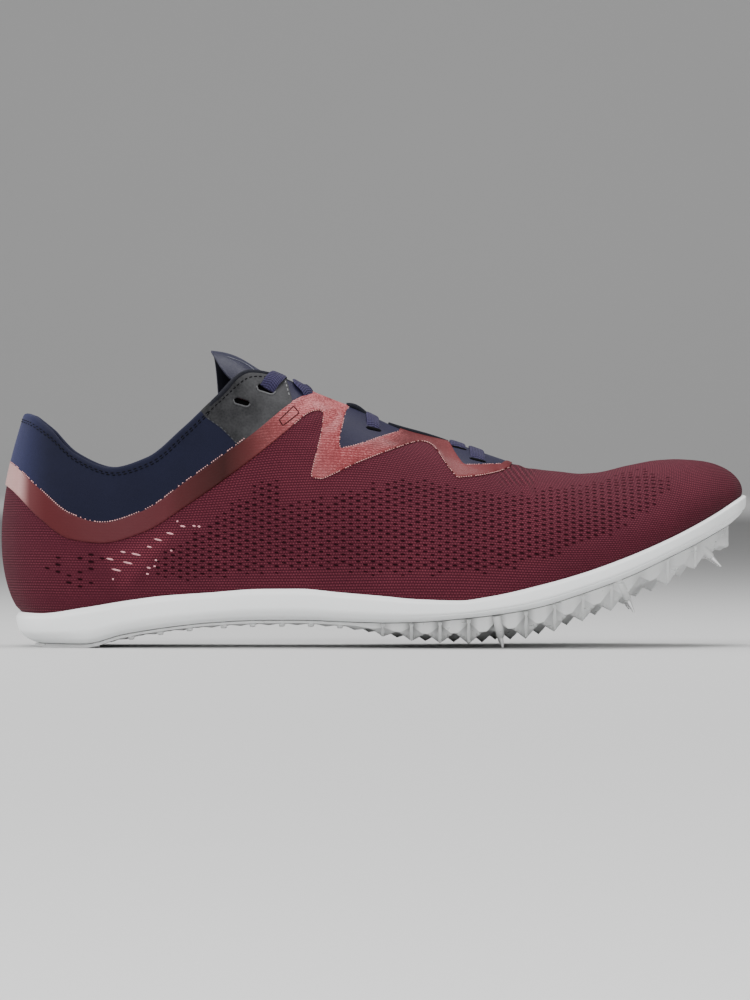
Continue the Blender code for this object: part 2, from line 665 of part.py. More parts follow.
def turned_solid(name, profile, origin, axis, finish_name):
    """Solid turned about an axis, from radii and distances along it."""
    along = axis / np.linalg.norm(axis)
    level = np.cross(along, (0.0, 1.0, 0.0))
    level /= np.linalg.norm(level)
    other = np.cross(along, level)
    points, rings = [], []
    for radius, distance in profile:
        centre = origin + along * distance
        if radius == 0.0:
            rings.append([len(points)])
            points.append(centre)
            continue
        turns = np.arange(PIN_SIDES) * 2.0 * math.pi / PIN_SIDES
        rings.append(list(range(len(points), len(points) + PIN_SIDES)))
        points += [centre + radius * (math.cos(a) * level + math.sin(a) * other) for a in turns]
    faces = []
    for low, high in zip(rings, rings[1:]):
        for i in range(PIN_SIDES):
            quad = [low[i % len(low)], low[(i + 1) % len(low)]]
            quad += [high[(i + 1) % len(high)], high[i % len(high)]]
            faces.append(tuple(dict.fromkeys(quad)))
    return make_object(name, points, faces, finish_name)


def build_pins():
    """Six metal pins, each a cone on a small flange."""
    for name, root, axis in pin_axes():
        tip = root + axis
        profile = ((0.0, 0.0),) + PIN_PROFILE
        turned_solid(name, profile, tip, -axis, "pin_metal")


# Inside and over the throat
def build_insole():
    """Sock liner lying on the foam inside the upper's wall."""
    loop = upper_loop()
    count = len(loop)
    station, side = foot_line(loop)
    out_station, out_side = outward(loop)
    inset = FOOT_WALL + 2.0 * GAP
    station, side = station - out_station * inset, side - out_side * inset
    rings = []
    for lift in (GAP, GAP + INSOLE_THICKNESS):
        rings.append(np.stack([station, side, sole_value("top", station) + lift], axis=-1))
    faces = ladder_faces(0, count) + ladder_faces(count, count)
    faces += [(i, (i + 1) % count, count + (i + 1) % count, count + i) for i in range(count)]
    return make_object("insole", np.concatenate(rings), faces, "liner_navy")


def bridge(lateral, medial, crown, count):
    """Points of a low arch between the two edges of the throat."""
    share = np.linspace(0.0, 1.0, count + 2)[1:-1, None]
    arch = np.sin(math.pi * share) * crown
    return lateral + (medial - lateral) * share + arch * np.array([0.0, 0.0, 1.0])


def tongue_row(section, depth):
    """Points across the tongue where it lies under the throat."""
    sections = column(TONGUE_CROWN, TONGUE_CROWN_COLUMNS, "section")
    crown = float(smooth(sections, column(TONGUE_CROWN, TONGUE_CROWN_COLUMNS, "rise"), section))
    shares = wall_shares()[-TONGUE_ROWS_UP_WALL:]
    around = np.full(len(shares), section)
    reach = -(wall_thickness(around, shares) + depth)
    lateral = off_wall(around, shares, reach)
    medial = off_wall(LOOP_SECTIONS - around, shares, reach)
    middle = bridge(lateral[-1], medial[-1], crown, TONGUE_ACROSS - 2 * len(shares))
    return np.concatenate([lateral, middle, medial[::-1]])


def tongue_tip_row(row, depth):
    """Points across the tongue's free tip, as an arch with its edges drooping."""
    station, height, half_width, lateral_drop, lateral_slide, medial_drop, medial_slide = row
    spread = np.linspace(-1.0, 1.0, TONGUE_ACROSS)
    droop = spread ** 2
    drop = np.where(spread < 0.0, lateral_drop, medial_drop) * droop
    slide = np.where(spread < 0.0, lateral_slide, medial_slide) * droop
    points = np.stack([station + slide, half_width * spread, height - drop], axis=-1)
    return points - np.array(TONGUE_LEAN) * depth


def build_tongue():
    """Thin tongue under the throat, its tip standing free above the collar."""
    sections = columns_between(TONGUE_FIRST_SECTION, TONGUE_LAST_SECTION)
    layers = []
    for depth in (TONGUE_GAP, TONGUE_GAP + TONGUE_THICKNESS):
        rows = [tongue_tip_row(row, depth) for row in reversed(TONGUE_TIP)]
        rows += [tongue_row(section, depth) for section in sections]
        layers.append(np.concatenate(rows))
    faces = grid_faces(len(sections) + len(TONGUE_TIP), TONGUE_ACROSS)
    points, solid = thicken(layers[0], layers[1], faces)
    return make_object("tongue", points, solid, "panel_navy")


def build_laces():
    """Flat lace crossings, each from one eyestay over the tongue to the other."""
    for name, section, width, edge_share, lift in LACES:
        ahead = section_value("rim_station", section + 0.5)
        behind = section_value("rim_station", section - 0.5)
        half = 0.5 * width / abs(float(ahead - behind))
        layers = []
        for height in (lift, lift + LACE_THICKNESS):
            rows = []
            for place in (section - half, section + half):
                shares = np.array([edge_share, 1.0])
                around = np.full(len(shares), place)
                reach = np.full(len(shares), height)
                lateral = off_wall(around, shares, reach)
                medial = off_wall(LOOP_SECTIONS - around, shares, reach)
                middle = bridge(lateral[-1], medial[-1], LACE_CROWN, LACE_STEPS)
                rows.append(np.concatenate([lateral, middle, medial[::-1]]))
            layers.append(np.concatenate(rows))
        points, solid = thicken(layers[1], layers[0], grid_faces(2, LACE_STEPS + 4))
        make_object(name, points, solid, "lace_purple")


def main():
    """Builds the shoe."""
    for old in list(bpy.data.objects):
        bpy.data.objects.remove(old, do_unlink=True)
    build_midsole()
    build_plate()
    build_pins()
    build_upper()
    build_insole()
    build_tongue()
    build_film()
    build_collar_panel()
    build_eyestays()
    build_laces()


main()
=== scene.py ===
"""Looks of a right-foot track spike: knitted upper, film arms, foam wedge, clear toothed plate, steel pins.

Sizes are millimetres in the shoe's own frame: station is the distance from the heel, side is + towards
the inner ankle, height is above the floor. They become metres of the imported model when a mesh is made.
"""

import logging
import math
from dataclasses import dataclass
from enum import Enum
from typing import Iterable, NamedTuple, Optional, Sequence, Union

import bmesh
import bpy
import numpy as np
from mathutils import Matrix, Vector
from mathutils.geometry import delaunay_2d_cdt
from mathutils.kdtree import KDTree


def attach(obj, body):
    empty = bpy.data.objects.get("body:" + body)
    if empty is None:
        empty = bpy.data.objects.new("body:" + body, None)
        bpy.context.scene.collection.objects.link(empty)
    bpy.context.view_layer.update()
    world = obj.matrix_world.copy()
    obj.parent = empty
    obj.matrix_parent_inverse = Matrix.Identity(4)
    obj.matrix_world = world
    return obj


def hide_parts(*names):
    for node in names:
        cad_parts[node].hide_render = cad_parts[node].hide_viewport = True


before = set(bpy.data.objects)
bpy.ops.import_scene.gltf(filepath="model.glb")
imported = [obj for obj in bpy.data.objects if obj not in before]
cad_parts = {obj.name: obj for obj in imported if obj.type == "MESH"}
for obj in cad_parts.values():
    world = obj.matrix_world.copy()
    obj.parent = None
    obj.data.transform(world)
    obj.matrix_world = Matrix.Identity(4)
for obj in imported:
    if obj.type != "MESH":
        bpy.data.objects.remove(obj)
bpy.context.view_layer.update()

logging.basicConfig(level=logging.INFO, format="%(message)s")
log = logging.getLogger("track_spike")

Array = np.ndarray
Pair = tuple[float, float]
Triple = tuple[float, float, float]
Outline = list[Pair]
Face = tuple[int, ...]
Colour = Triple
Zone = tuple[Pair, ...]
Corners = tuple[Triple, ...]

TURN = 2.0 * math.pi
MILLIMETRE = 0.001
FRAME_ORIGIN = np.array([143.15, 1.65, 0.0])
BODY = "root"


class Section(NamedTuple):
    """One half-section of the last, from where it stands on the sole to its rim."""

    foot_station: float
    lateral: float
    medial: float
    rim_station: float
    rim_height: float
    rim_half: float
    swell: float
    arch: float
    wall: float


class SoleRow(NamedTuple):
    """Heights of the foam's edges at a station, and the plate and tooth under it."""

    station: float
    top: float
    bottom: float
    plate: float
    tooth: float


class Crease(NamedTuple):
    """A soft trough (depth below 0) or ridge in the knit, placed in side view."""

    station: float
    height: float
    angle: float
    length: float
    width: float
    depth: float


SECTIONS = (
    Section(8.0, 0.0, 0.0, 9.8, 88.6, 0.0, 7.6, 0.45, 3.6),
    Section(11.5, -14.5, 14.5, 12.6, 87.6, 9.5, 6.2, 0.45, 3.6),
    Section(20.0, -24.5, 24.5, 20.0, 82.4, 17.5, 4.0, 0.45, 3.6),
    Section(34.0, -30.0, 30.0, 29.5, 73.4, 22.5, 2.5, 0.45, 3.4),
    Section(52.0, -31.5, 31.5, 43.4, 68.1, 25.5, 1.5, 0.45, 3.2),
    Section(70.0, -31.5, 30.5, 57.0, 71.9, 26.5, 1.2, 0.48, 3.0),
    Section(86.0, -31.2, 28.5, 70.5, 82.9, 25.5, 1.2, 0.52, 2.8),
    Section(100.0, -31.5, 27.0, 83.5, 95.0, 23.0, 1.2, 0.58, 2.6),
    Section(113.0, -33.0, 26.5, 96.0, 104.2, 18.5, 1.4, 0.64, 2.4),
    Section(124.0, -35.0, 28.0, 106.0, 102.6, 15.5, 1.6, 0.70, 2.2),
    Section(136.0, -37.5, 30.5, 120.0, 96.6, 13.5, 1.8, 0.75, 2.0),
    Section(150.0, -40.5, 34.5, 137.0, 89.8, 12.0, 2.0, 0.80, 2.0),
    Section(166.0, -43.0, 39.0, 155.0, 82.0, 10.5, 2.2, 0.85, 2.0),
    Section(182.0, -44.5, 43.5, 173.0, 77.4, 9.0, 2.4, 0.90, 2.0),
    Section(196.0, -44.5, 46.5, 188.0, 72.4, 7.0, 2.4, 0.95, 2.0),
    Section(206.0, -43.5, 47.5, 195.5, 69.8, 4.5, 2.4, 0.98, 2.0),
    Section(214.0, -42.3, 47.8, 199.0, 68.6, 0.0, 2.4, 1.0, 2.0),
    Section(226.0, -39.5, 47.3, 211.0, 66.9, 0.0, 2.4, 1.0, 2.0),
    Section(240.0, -35.0, 45.0, 226.0, 66.2, 0.0, 2.4, 1.0, 2.0),
    Section(254.0, -28.0, 41.0, 240.0, 69.0, 0.0, 2.4, 1.0, 2.0),
    Section(266.0, -19.0, 35.0, 251.0, 71.0, 0.0, 2.0, 1.0, 2.0),
    Section(275.5, -8.0, 27.0, 258.0, 71.4, 0.0, 1.6, 1.0, 2.0),
    Section(281.5, 1.0, 18.5, 262.0, 71.2, 0.0, 1.2, 1.0, 2.0),
    Section(283.6, 9.5, 9.5, 264.0, 71.0, 0.0, 0.8, 1.0, 2.0),
)
MIDLINE = ((0.0, 0.0), (100.0, 0.0), (160.0, 2.0), (199.0, 4.0), (226.0, 6.5), (250.0, 8.6), (290.0, 9.6))
SOLE = (
    SoleRow(5.0, 13.4, 1.6, 1.3, 0.0),
    SoleRow(16.0, 13.0, 1.6, 1.3, 0.0),
    SoleRow(33.0, 15.3, 1.6, 1.3, 0.0),
    SoleRow(48.0, 17.8, 5.2, 1.0, 0.9),
    SoleRow(64.0, 19.9, 7.8, 0.9, 0.9),
    SoleRow(80.0, 21.0, 9.6, 0.9, 0.9),
    SoleRow(100.0, 22.4, 10.6, 0.9, 0.9),
    SoleRow(115.0, 22.5, 10.7, 0.9, 0.9),
    SoleRow(130.0, 21.2, 10.2, 1.0, 1.2),
    SoleRow(147.0, 19.8, 9.8, 2.6, 2.6),
    SoleRow(158.0, 18.8, 10.0, 3.9, 3.1),
    SoleRow(175.0, 18.3, 11.3, 5.0, 4.2),
    SoleRow(187.0, 19.9, 12.6, 5.6, 4.8),
    SoleRow(204.0, 23.7, 15.5, 5.8, 5.0),
    SoleRow(221.0, 28.4, 20.6, 5.6, 4.8),
    SoleRow(238.0, 34.4, 26.7, 5.4, 4.8),
    SoleRow(255.0, 41.6, 34.4, 5.0, 5.0),
    SoleRow(272.0, 50.3, 42.8, 4.8, 3.0),
    SoleRow(281.0, 55.8, 47.9, 8.6, 0.5),
    SoleRow(288.0, 60.0, 52.0, 8.6, 0.5),
)
CREASES = (
    Crease(192.0, 64.0, -62.0, 6.0, 1.6, -0.5),
    Crease(197.5, 63.5, -68.0, 7.0, 1.5, -0.6),
    Crease(203.0, 62.5, -70.0, 7.0, 1.6, -0.5),
    Crease(200.2, 63.0, -69.0, 7.0, 1.4, 0.35),
    Crease(222.0, 60.0, -75.0, 11.0, 4.5, -0.5),
    Crease(64.0, 30.0, 24.0, 22.0, 5.0, -0.35),
    Crease(112.0, 58.0, 40.0, 24.0, 6.0, -0.35),
    Crease(123.8, 83.5, 38.0, 7.0, 2.0, -0.55),
    Crease(121.5, 87.5, 30.0, 8.0, 2.2, 0.5),
    Crease(113.0, 91.0, 70.0, 5.0, 2.0, 0.5),
)
THROAT_END = 16.0
TOE = float(len(SECTIONS) - 1)
LOOP = 2.0 * TOE


class Curve:
    """Smooth curve through a table's points that never overshoots them."""

    def __init__(self, at: Sequence[float], values: Sequence[float]) -> None:
        """Keeps the points and works out a slope at each.

        Args:
            at: Places, rising.
            values: Value at each place.
        """
        self.at = np.asarray(at, dtype=float)
        self.values = np.asarray(values, dtype=float)
        widths = np.diff(self.at)
        secants = np.diff(self.values) / widths
        slopes = np.zeros(len(self.values))
        slopes[0], slopes[-1] = secants[0], secants[-1]
        for i in range(1, len(self.values) - 1):
            before, after = secants[i - 1], secants[i]
            if before * after > 0.0:
                first = 2.0 * widths[i] + widths[i - 1]
                second = widths[i] + 2.0 * widths[i - 1]
                slopes[i] = (first + second) / (first / before + second / after)
        self.slopes = slopes

    def __call__(self, where: Union[float, Array]) -> Array:
        """Reads the curve at one or many places.

        Args:
            where: Place or places, held to the table's range.

        Returns:
            The values there.
        """
        where = np.clip(np.asarray(where, dtype=float), self.at[0], self.at[-1])
        cell = np.clip(np.searchsorted(self.at, where, side="right") - 1, 0, len(self.at) - 2)
        width = self.at[cell + 1] - self.at[cell]
        t = (where - self.at[cell]) / width
        rest = 1.0 - t
        start = (1.0 + 2.0 * t) * rest ** 2 * self.values[cell] + t * rest ** 2 * width * self.slopes[cell]
        end = t ** 2 * (3.0 - 2.0 * t) * self.values[cell + 1]
        return start + end - t ** 2 * rest * width * self.slopes[cell + 1]


class LoopCurve(Curve):
    """Curve round the whole shoe: lateral rows from heel to toe, then medial rows back."""

    PAD = 3

    def __init__(self, lateral: Sequence[float], medial: Sequence[float]) -> None:
        """Joins the two sides into one closed table.

        Args:
            lateral: Outer side's values, heel to toe.
            medial: Inner side's values, heel to toe.
        """
        whole = np.concatenate([np.asarray(lateral, dtype=float), np.asarray(medial, dtype=float)[-2:0:-1]])
        padded = np.concatenate([whole[-self.PAD:], whole, whole[:self.PAD + 1]])
        super().__init__(np.arange(-self.PAD, len(whole) + self.PAD + 1), padded)

    def __call__(self, around: Union[float, Array]) -> Array:
        """Reads the curve at places round the loop, - on the medial side."""
        return super().__call__(np.mod(around, LOOP))


class Side(Enum):
    """The two sides of the shoe, by the sign of a place round the loop."""

    LATERAL = 1.0
    MEDIAL = -1.0


@dataclass
class Last:
    """The shape of the foot that the upper is built on, as one function of two numbers.

    A place round the loop runs from 0 at the heel to +23 at the toe on the lateral side and to -23 on
    the medial side. A height t up the skin is 0 at the sole and 1 at the rim; from there it rolls over
    the rim and runs down the inside.
    """

    gap: float = 0.3
    foot_wall: float = 2.0
    swell_lowness: float = 0.68
    roll_span: float = 0.1
    roll_height: float = 0.55
    heel_undercut: float = 3.6
    heel_undercut_end: float = 30.0
    table_columns: int = 741
    table_rows: int = 41
    search_columns: int = 231
    search_rows: int = 81
    search_rounds: int = 4
    level_rounds: int = 26

    def __post_init__(self) -> None:
        """Makes the smooth columns and the tables that find places again."""
        columns = {name: [getattr(row, name) for row in SECTIONS] for name in Section._fields}
        self.column = {name: LoopCurve(values, values) for name, values in columns.items()}
        self.foot_side = LoopCurve(columns["lateral"], columns["medial"])
        half = np.array(columns["rim_half"])
        self.rim_side = LoopCurve(-half, half)
        self.midline = Curve(*zip(*MIDLINE))
        stations = [row.station for row in SOLE]
        self.sole = {name: Curve(stations, [getattr(row, name) for row in SOLE]) for name in SoleRow._fields}
        places = np.linspace(-TOE, TOE, self.table_columns)
        foot = np.stack(self.foot(places), axis=-1)
        steps = lengths_along(foot)
        self._places = places
        self._lengths = steps - np.interp(0.0, places, steps)
        walls = self.wall(places[:, None], np.linspace(0.0, 1.0, self.table_rows)[None, :])
        self._girths = np.cumsum(np.linalg.norm(np.diff(walls, axis=1), axis=2), axis=1)[:, -1]
        self._trees: dict[tuple[Side, bool], tuple[KDTree, Array]] = {}

    def foot(self, around: Array) -> tuple[Array, Array]:
        """Station and side of the line where the upper stands on the sole."""
        return self.column["foot_station"](around), self.foot_side(around)

    def outward(self, around: Array) -> tuple[Array, Array]:
        """Level unit direction out of the foot line, as station and side parts.

        Args:
            around: Places round the loop.

        Returns:
            The two parts of each direction.
        """
        step = 0.05
        ahead, behind = self.foot(around + step), self.foot(around - step)
        along_station, along_side = ahead[0] - behind[0], ahead[1] - behind[1]
        length = np.hypot(along_station, along_side)
        return along_side / length, -along_station / length

    def wall(self, around: Array, share: Array) -> Array:
        """Points on the outside of the wall.

        Args:
            around: Places round the loop.
            share: Shares of the way up the wall, 0 to 1.

        Returns:
            Points in millimetres, the last axis being station, side and height.
        """
        around, share = np.broadcast_arrays(np.asarray(around, dtype=float), np.asarray(share, dtype=float))
        foot_station, foot_side = self.foot(around)
        rim_station = self.column["rim_station"](around)
        rim_side = self.midline(rim_station) + self.rim_side(around)
        foot_height = self.sole["top"](foot_station) + self.gap
        end_angle = 0.5 * math.pi * self.column["arch"](around)
        inward = (1.0 - np.cos(share * end_angle)) / (1.0 - np.cos(end_angle))
        rise = np.sin(share * end_angle) / np.sin(end_angle)
        swell = self.column["swell"](around) * np.sin(math.pi * np.power(share, self.swell_lowness))
        out_station, out_side = self.outward(around)
        station = foot_station + (rim_station - foot_station) * inward + out_station * swell
        side = foot_side + (rim_side - foot_side) * inward + out_side * swell
        height = foot_height + (self.column["rim_height"](around) - foot_height) * rise
        return np.stack([station, side, height], axis=-1)

    def directions(self, around: Array, share: Array) -> tuple[Array, Array]:
        """Unit directions out of the wall and up along it.

        Args:
            around: Places round the loop.
            share: Shares of the way up the wall.

        Returns:
            Outward and upward directions.
        """
        around, share = np.broadcast_arrays(np.asarray(around, dtype=float), np.asarray(share, dtype=float))
        step = 0.02

        def facing(loop: Array) -> tuple[Array, Array]:
            """Directions from small steps along and up the wall.

            Args:
                loop: Places round the loop.

            Returns:
                Outward and upward directions.
            """
            above, below = np.clip(share + step, 0.0, 1.0), np.clip(share - step, 0.0, 1.0)
            up = self.wall(loop, above) - self.wall(loop, below)
            along = self.wall(loop + step, share) - self.wall(loop - step, share)
            return unit(np.cross(along, up)), unit(up)

        normal, up = facing(around)
        other, _ = facing(-around)
        on_ridge = (np.abs(around) >= THROAT_END) & (share >= 1.0)
        return np.where(on_ridge[..., None], unit(normal + other), normal), up

    def relief(self, points: Array) -> Array:
        """Depth of the listed creases at points of the wall.

        Args:
            points: Points of the wall.

        Returns:
            A depth for each point, below 0 in a trough.
        """
        total = np.zeros(points.shape[:-1])
        for crease in CREASES:
            ahead, above = points[..., 0] - crease.station, points[..., 2] - crease.height
            cosine, sine = math.cos(math.radians(crease.angle)), math.sin(math.radians(crease.angle))
            along = ahead * cosine + above * sine
            across = above * cosine - ahead * sine
            total += crease.depth * np.exp(-(across / crease.width) ** 2 - (along / crease.length) ** 4)
        return total

    def thickness(self, around: Array, share: Array) -> Array:
        """Thickness of the wall, growing from the foot to its padded or bound rim."""
        return self.foot_wall + (self.column["wall"](around) - self.foot_wall) * share

    @staticmethod
    def open_rim(around: Array) -> Array:
        """1 where the rim is open, easing to 0 where the throat closes."""
        return np.clip(THROAT_END - np.abs(around), 0.0, 1.0)

    def rim_share(self, around: Array) -> Array:
        """Share of the wall where the rim's roll starts, a little below the very top."""
        roll = self.roll_height * 0.5 * self.column["wall"](around) / self.girth(around)
        return 1.0 - self.open_rim(around) * roll

    def rim_place(self, station: Union[float, Array]) -> Array:
        """Place round the lateral loop whose rim is at a station."""
        places = np.linspace(0.0, TOE, self.search_columns)
        return np.interp(station, self.column["rim_station"](places), places)

    def pattern(self, around: Array, t: Array) -> Array:
        """Pattern places in millimetres: along the shoe, and up the skin from the floor.

        Args:
            around: Places round the loop.
            t: Heights up the skin.

        Returns:
            Two numbers for each place.
        """
        folded = np.abs(around)
        along = 0.5 * (self.arc(folded) - self.arc(-folded))
        girth = 0.5 * (self.girth(folded) + self.girth(-folded))
        foot_height = self.sole["top"](self.column["foot_station"](folded))
        return np.stack(np.broadcast_arrays(along, foot_height + girth * t), axis=-1)

    def girth(self, around: Array) -> Array:
        """Length of the wall from the foot to the rim."""
        return np.interp(around, self._places, self._girths)

    def arc(self, around: Array) -> Array:
        """Length along the foot line from the heel, - on the medial side."""
        return np.interp(around, self._places, self._lengths)

    def unarc(self, length: Array) -> Array:
        """Place round the loop at a length along the foot line."""
        return np.interp(length, self._lengths, self._places)

    def skin(self, around: Array, t: Array, lift: Union[float, Array] = 0.0) -> Array:
        """Points on or off the upper's skin, over the rim and down the inside too.

        Args:
            around: Places round the loop, - on the medial side.
            t: Heights up the skin; past 1 they roll over the rim.
            lift: Distance off the skin.

        Returns:
            Points in millimetres.
        """
        around, t, lift = np.broadcast_arrays(*(np.asarray(v, dtype=float) for v in (around, t, lift)))
        top = self.rim_share(around)
        down = np.clip(t - 1.0 - self.roll_span, 0.0, 1.0)
        inside = t > 1.0 + self.roll_span
        share = np.where(inside, top * (1.0 - down), top * np.clip(t, 0.0, 1.0))
        base = self.wall(around, share)
        normal, up = self.directions(around, share)
        wall = self.thickness(around, share)
        angle = math.pi * np.clip((t - 1.0) / self.roll_span, 0.0, 1.0)
        half = 0.5 * wall
        out = (half + lift) * np.cos(angle) - half
        rise = (half * self.roll_height + lift) * np.sin(angle) * self.open_rim(around)
        out = out + np.where(t <= 1.0, self.relief(base), 0.0)
        below = np.minimum(t, 0.0) * self.girth(around)
        return base + normal * out[..., None] + up * (rise + below)[..., None]

    def frame(self, around: Array, t: Array) -> tuple[Array, Array]:
        """Directions out of the outer skin and along the shoe.

        Args:
            around: Places round the loop.
            t: Heights up the skin.

        Returns:
            Both directions at each place.
        """
        facing, _ = self.directions(around, np.clip(t, 0.0, 1.0) * self.rim_share(around))
        along = np.zeros_like(facing)
        along[:, 0] = 1.0
        return facing, along

    def seen(self, around: Array, t: Array, by_girth: bool) -> Array:
        """Station of skin points, with their height or their length up the skin.

        Args:
            around: Places round the loop.
            t: Heights up the skin.
            by_girth: Whether to give lengths up the skin.

        Returns:
            Two numbers for each place.
        """
        station_height = self.skin(around, t)[..., [0, 2]]
        if by_girth:
            station_height[..., 1] = self.pattern(around, t)[..., 1]
        return station_height

    def locate(self, side: Side, stations: Array, heights: Array,
               by_girth: bool = False) -> tuple[Array, Array]:
        """Finds the places on one side of the skin that are seen at a station and height.

        Args:
            side: Which side of the shoe.
            stations: Stations seen in side view.
            heights: Heights seen in side view, or lengths up the skin.
            by_girth: Whether heights are lengths up the skin.

        Returns:
            Places round the loop and heights t up the skin.
        """
        goal = np.stack([np.asarray(stations, dtype=float), np.asarray(heights, dtype=float)], axis=-1)
        if (side, by_girth) not in self._trees:
            loop = np.linspace(0.0, TOE, self.search_columns) * side.value
            grid = plane_grid(loop, np.linspace(0.0, 1.0, self.search_rows))
            tree = KDTree(len(grid))
            for index, point in enumerate(self.seen(grid[:, 0], grid[:, 1], by_girth)):
                tree.insert((*point, 0.0), index)
            tree.balance()
            self._trees[(side, by_girth)] = (tree, grid)
        tree, grid = self._trees[(side, by_girth)]
        nearest = [tree.find((*point, 0.0))[1] for point in goal]
        around, t = grid[nearest, 0].copy(), grid[nearest, 1].copy()
        step = 0.01
        for _ in range(self.search_rounds):
            here = self.seen(around, t, by_girth)
            ahead, behind = (self.seen(around + way * step, t, by_girth) for way in (1.0, -1.0))
            by_around = (ahead - behind) / (2.0 * step)
            by_t = (here - self.seen(around, t - step, by_girth)) / step
            miss = goal - here
            det = by_around[:, 0] * by_t[:, 1] - by_around[:, 1] * by_t[:, 0]
            det = np.where(np.abs(det) < 1.0, np.copysign(1.0, det), det)
            move_around = (miss[:, 0] * by_t[:, 1] - miss[:, 1] * by_t[:, 0]) / det
            move_t = (miss[:, 1] * by_around[:, 0] - miss[:, 0] * by_around[:, 1]) / det
            around = around + np.clip(move_around, -0.5, 0.5)
            t = np.clip(t + np.clip(move_t, -0.1, 0.1), 0.0, 1.0)
        return around, t

    def level(self, around: Array, edge: Curve) -> Array:
        """Heights t where the skin crosses an edge drawn in side view.

        Args:
            around: Places round the loop.
            edge: Height of the edge at each station.

        Returns:
            One height t for each place.
        """
        low, high = np.zeros(len(around)), np.ones(len(around))
        for _ in range(self.level_rounds):
            middle = 0.5 * (low + high)
            here = self.skin(around, middle)
            under = here[:, 2] < edge(here[:, 0])
            low, high = np.where(under, middle, low), np.where(under, high, middle)
        return 0.5 * (low + high)

    def foam_ring(self, around: Array, share: Array, outset: Array) -> Array:
        """Points of the foam's side, at a share of its height and an outset from the foot line.

        Args:
            around: Places round the loop.
            share: Shares of the foam's height.
            outset: Distances out of the foot line.

        Returns:
            Points in millimetres.
        """
        station, side = self.foot(around)
        out_station, out_side = self.outward(around)
        at_heel = np.clip(1.0 - station / self.heel_undercut_end, 0.0, 1.0)
        reach = outset - self.heel_undercut * at_heel * (1.0 - share) ** 2
        ring_station = station + out_station * reach
        bottom, top = self.sole["bottom"](ring_station), self.sole["top"](ring_station)
        return np.stack([ring_station, side + out_side * reach, bottom + (top - bottom) * share], axis=-1)


def unit(vectors: Array) -> Array:
    """Vectors brought to length 1."""
    return vectors / np.maximum(np.linalg.norm(vectors, axis=-1, keepdims=True), 1e-9)


def lengths_along(line: Array) -> Array:
    """Length from a line's start to each of its points."""
    return np.concatenate([[0.0], np.cumsum(np.linalg.norm(np.diff(line, axis=0), axis=1))])


def plane_grid(columns: Array, rows: Array) -> Array:
    """Every pair of a column's and a row's number, column by column."""
    return np.stack(np.meshgrid(columns, rows, indexing="ij"), axis=-1).reshape(-1, 2)


# Meshes
@dataclass
class Shell:
    """A mesh in millimetres, with a pattern place for each point and a finish number for each face."""

    points: Array
    faces: list[Face]
    pattern: Optional[Array] = None
    kinds: Optional[Array] = None


def grid_faces(columns: int, rows: int) -> list[Face]:
    """Quads of a grid whose points run up each column in turn."""
    return [(c * rows + r, (c + 1) * rows + r, (c + 1) * rows + r + 1, c * rows + r + 1)
            for c in range(columns - 1) for r in range(rows - 1)]


def ring_faces(rings: int, count: int) -> list[Face]:
    """Quads between closed rings of points that follow one another.

    Args:
        rings: Number of rings.
        count: Points in a ring.

    Returns:
        The quads.
    """
    steps = [(i, (i + 1) % count) for i in range(count)]
    return [(first + i, first + j, first + count + j, first + count + i)
            for first in range(0, (rings - 1) * count, count) for i, j in steps]


def drop_unused(shell: Shell) -> Shell:
    """Leaves out points that no face uses.

    Args:
        shell: The whole mesh.

    Returns:
        The mesh with only the points in use.
    """
    used = np.unique(np.concatenate([np.array(face) for face in shell.faces]))
    place = {int(old): new for new, old in enumerate(used)}
    faces = [tuple(place[index] for index in face) for face in shell.faces]
    pattern = None if shell.pattern is None else shell.pattern[used]
    return Shell(shell.points[used], faces, pattern, shell.kinds)


def thicken(front: Array, back: Array, faces: list[Face], pattern: Optional[Array] = None) -> Shell:
    """Closes a sheet and its back into one body, with walls along the open edges.

    Args:
        front: Points of the outer sheet.
        back: Points of the inner sheet, one for each outer point.
        faces: Faces of the outer sheet.
        pattern: Pattern places of the outer points, used for both sheets.

    Returns:
        The closed shell, finish 0 in front and on its edges, 1 behind.
    """
    count = len(front)
    open_edges: dict[frozenset, Optional[tuple[int, int]]] = {}
    for face in faces:
        for start, end in zip(face, face[1:] + face[:1]):
            key = frozenset((start, end))
            open_edges[key] = None if key in open_edges else (start, end)
    behind = [tuple(index + count for index in reversed(face)) for face in faces]
    walls = [(end, start, start + count, end + count) for start, end in (e for e in open_edges.values() if e)]
    kinds = np.concatenate([np.zeros(len(faces)), np.ones(len(behind)), np.zeros(len(walls))]).astype(int)
    places = None if pattern is None else np.concatenate([pattern, pattern])
    return Shell(np.concatenate([front, back]), list(faces) + behind + walls, places, kinds)


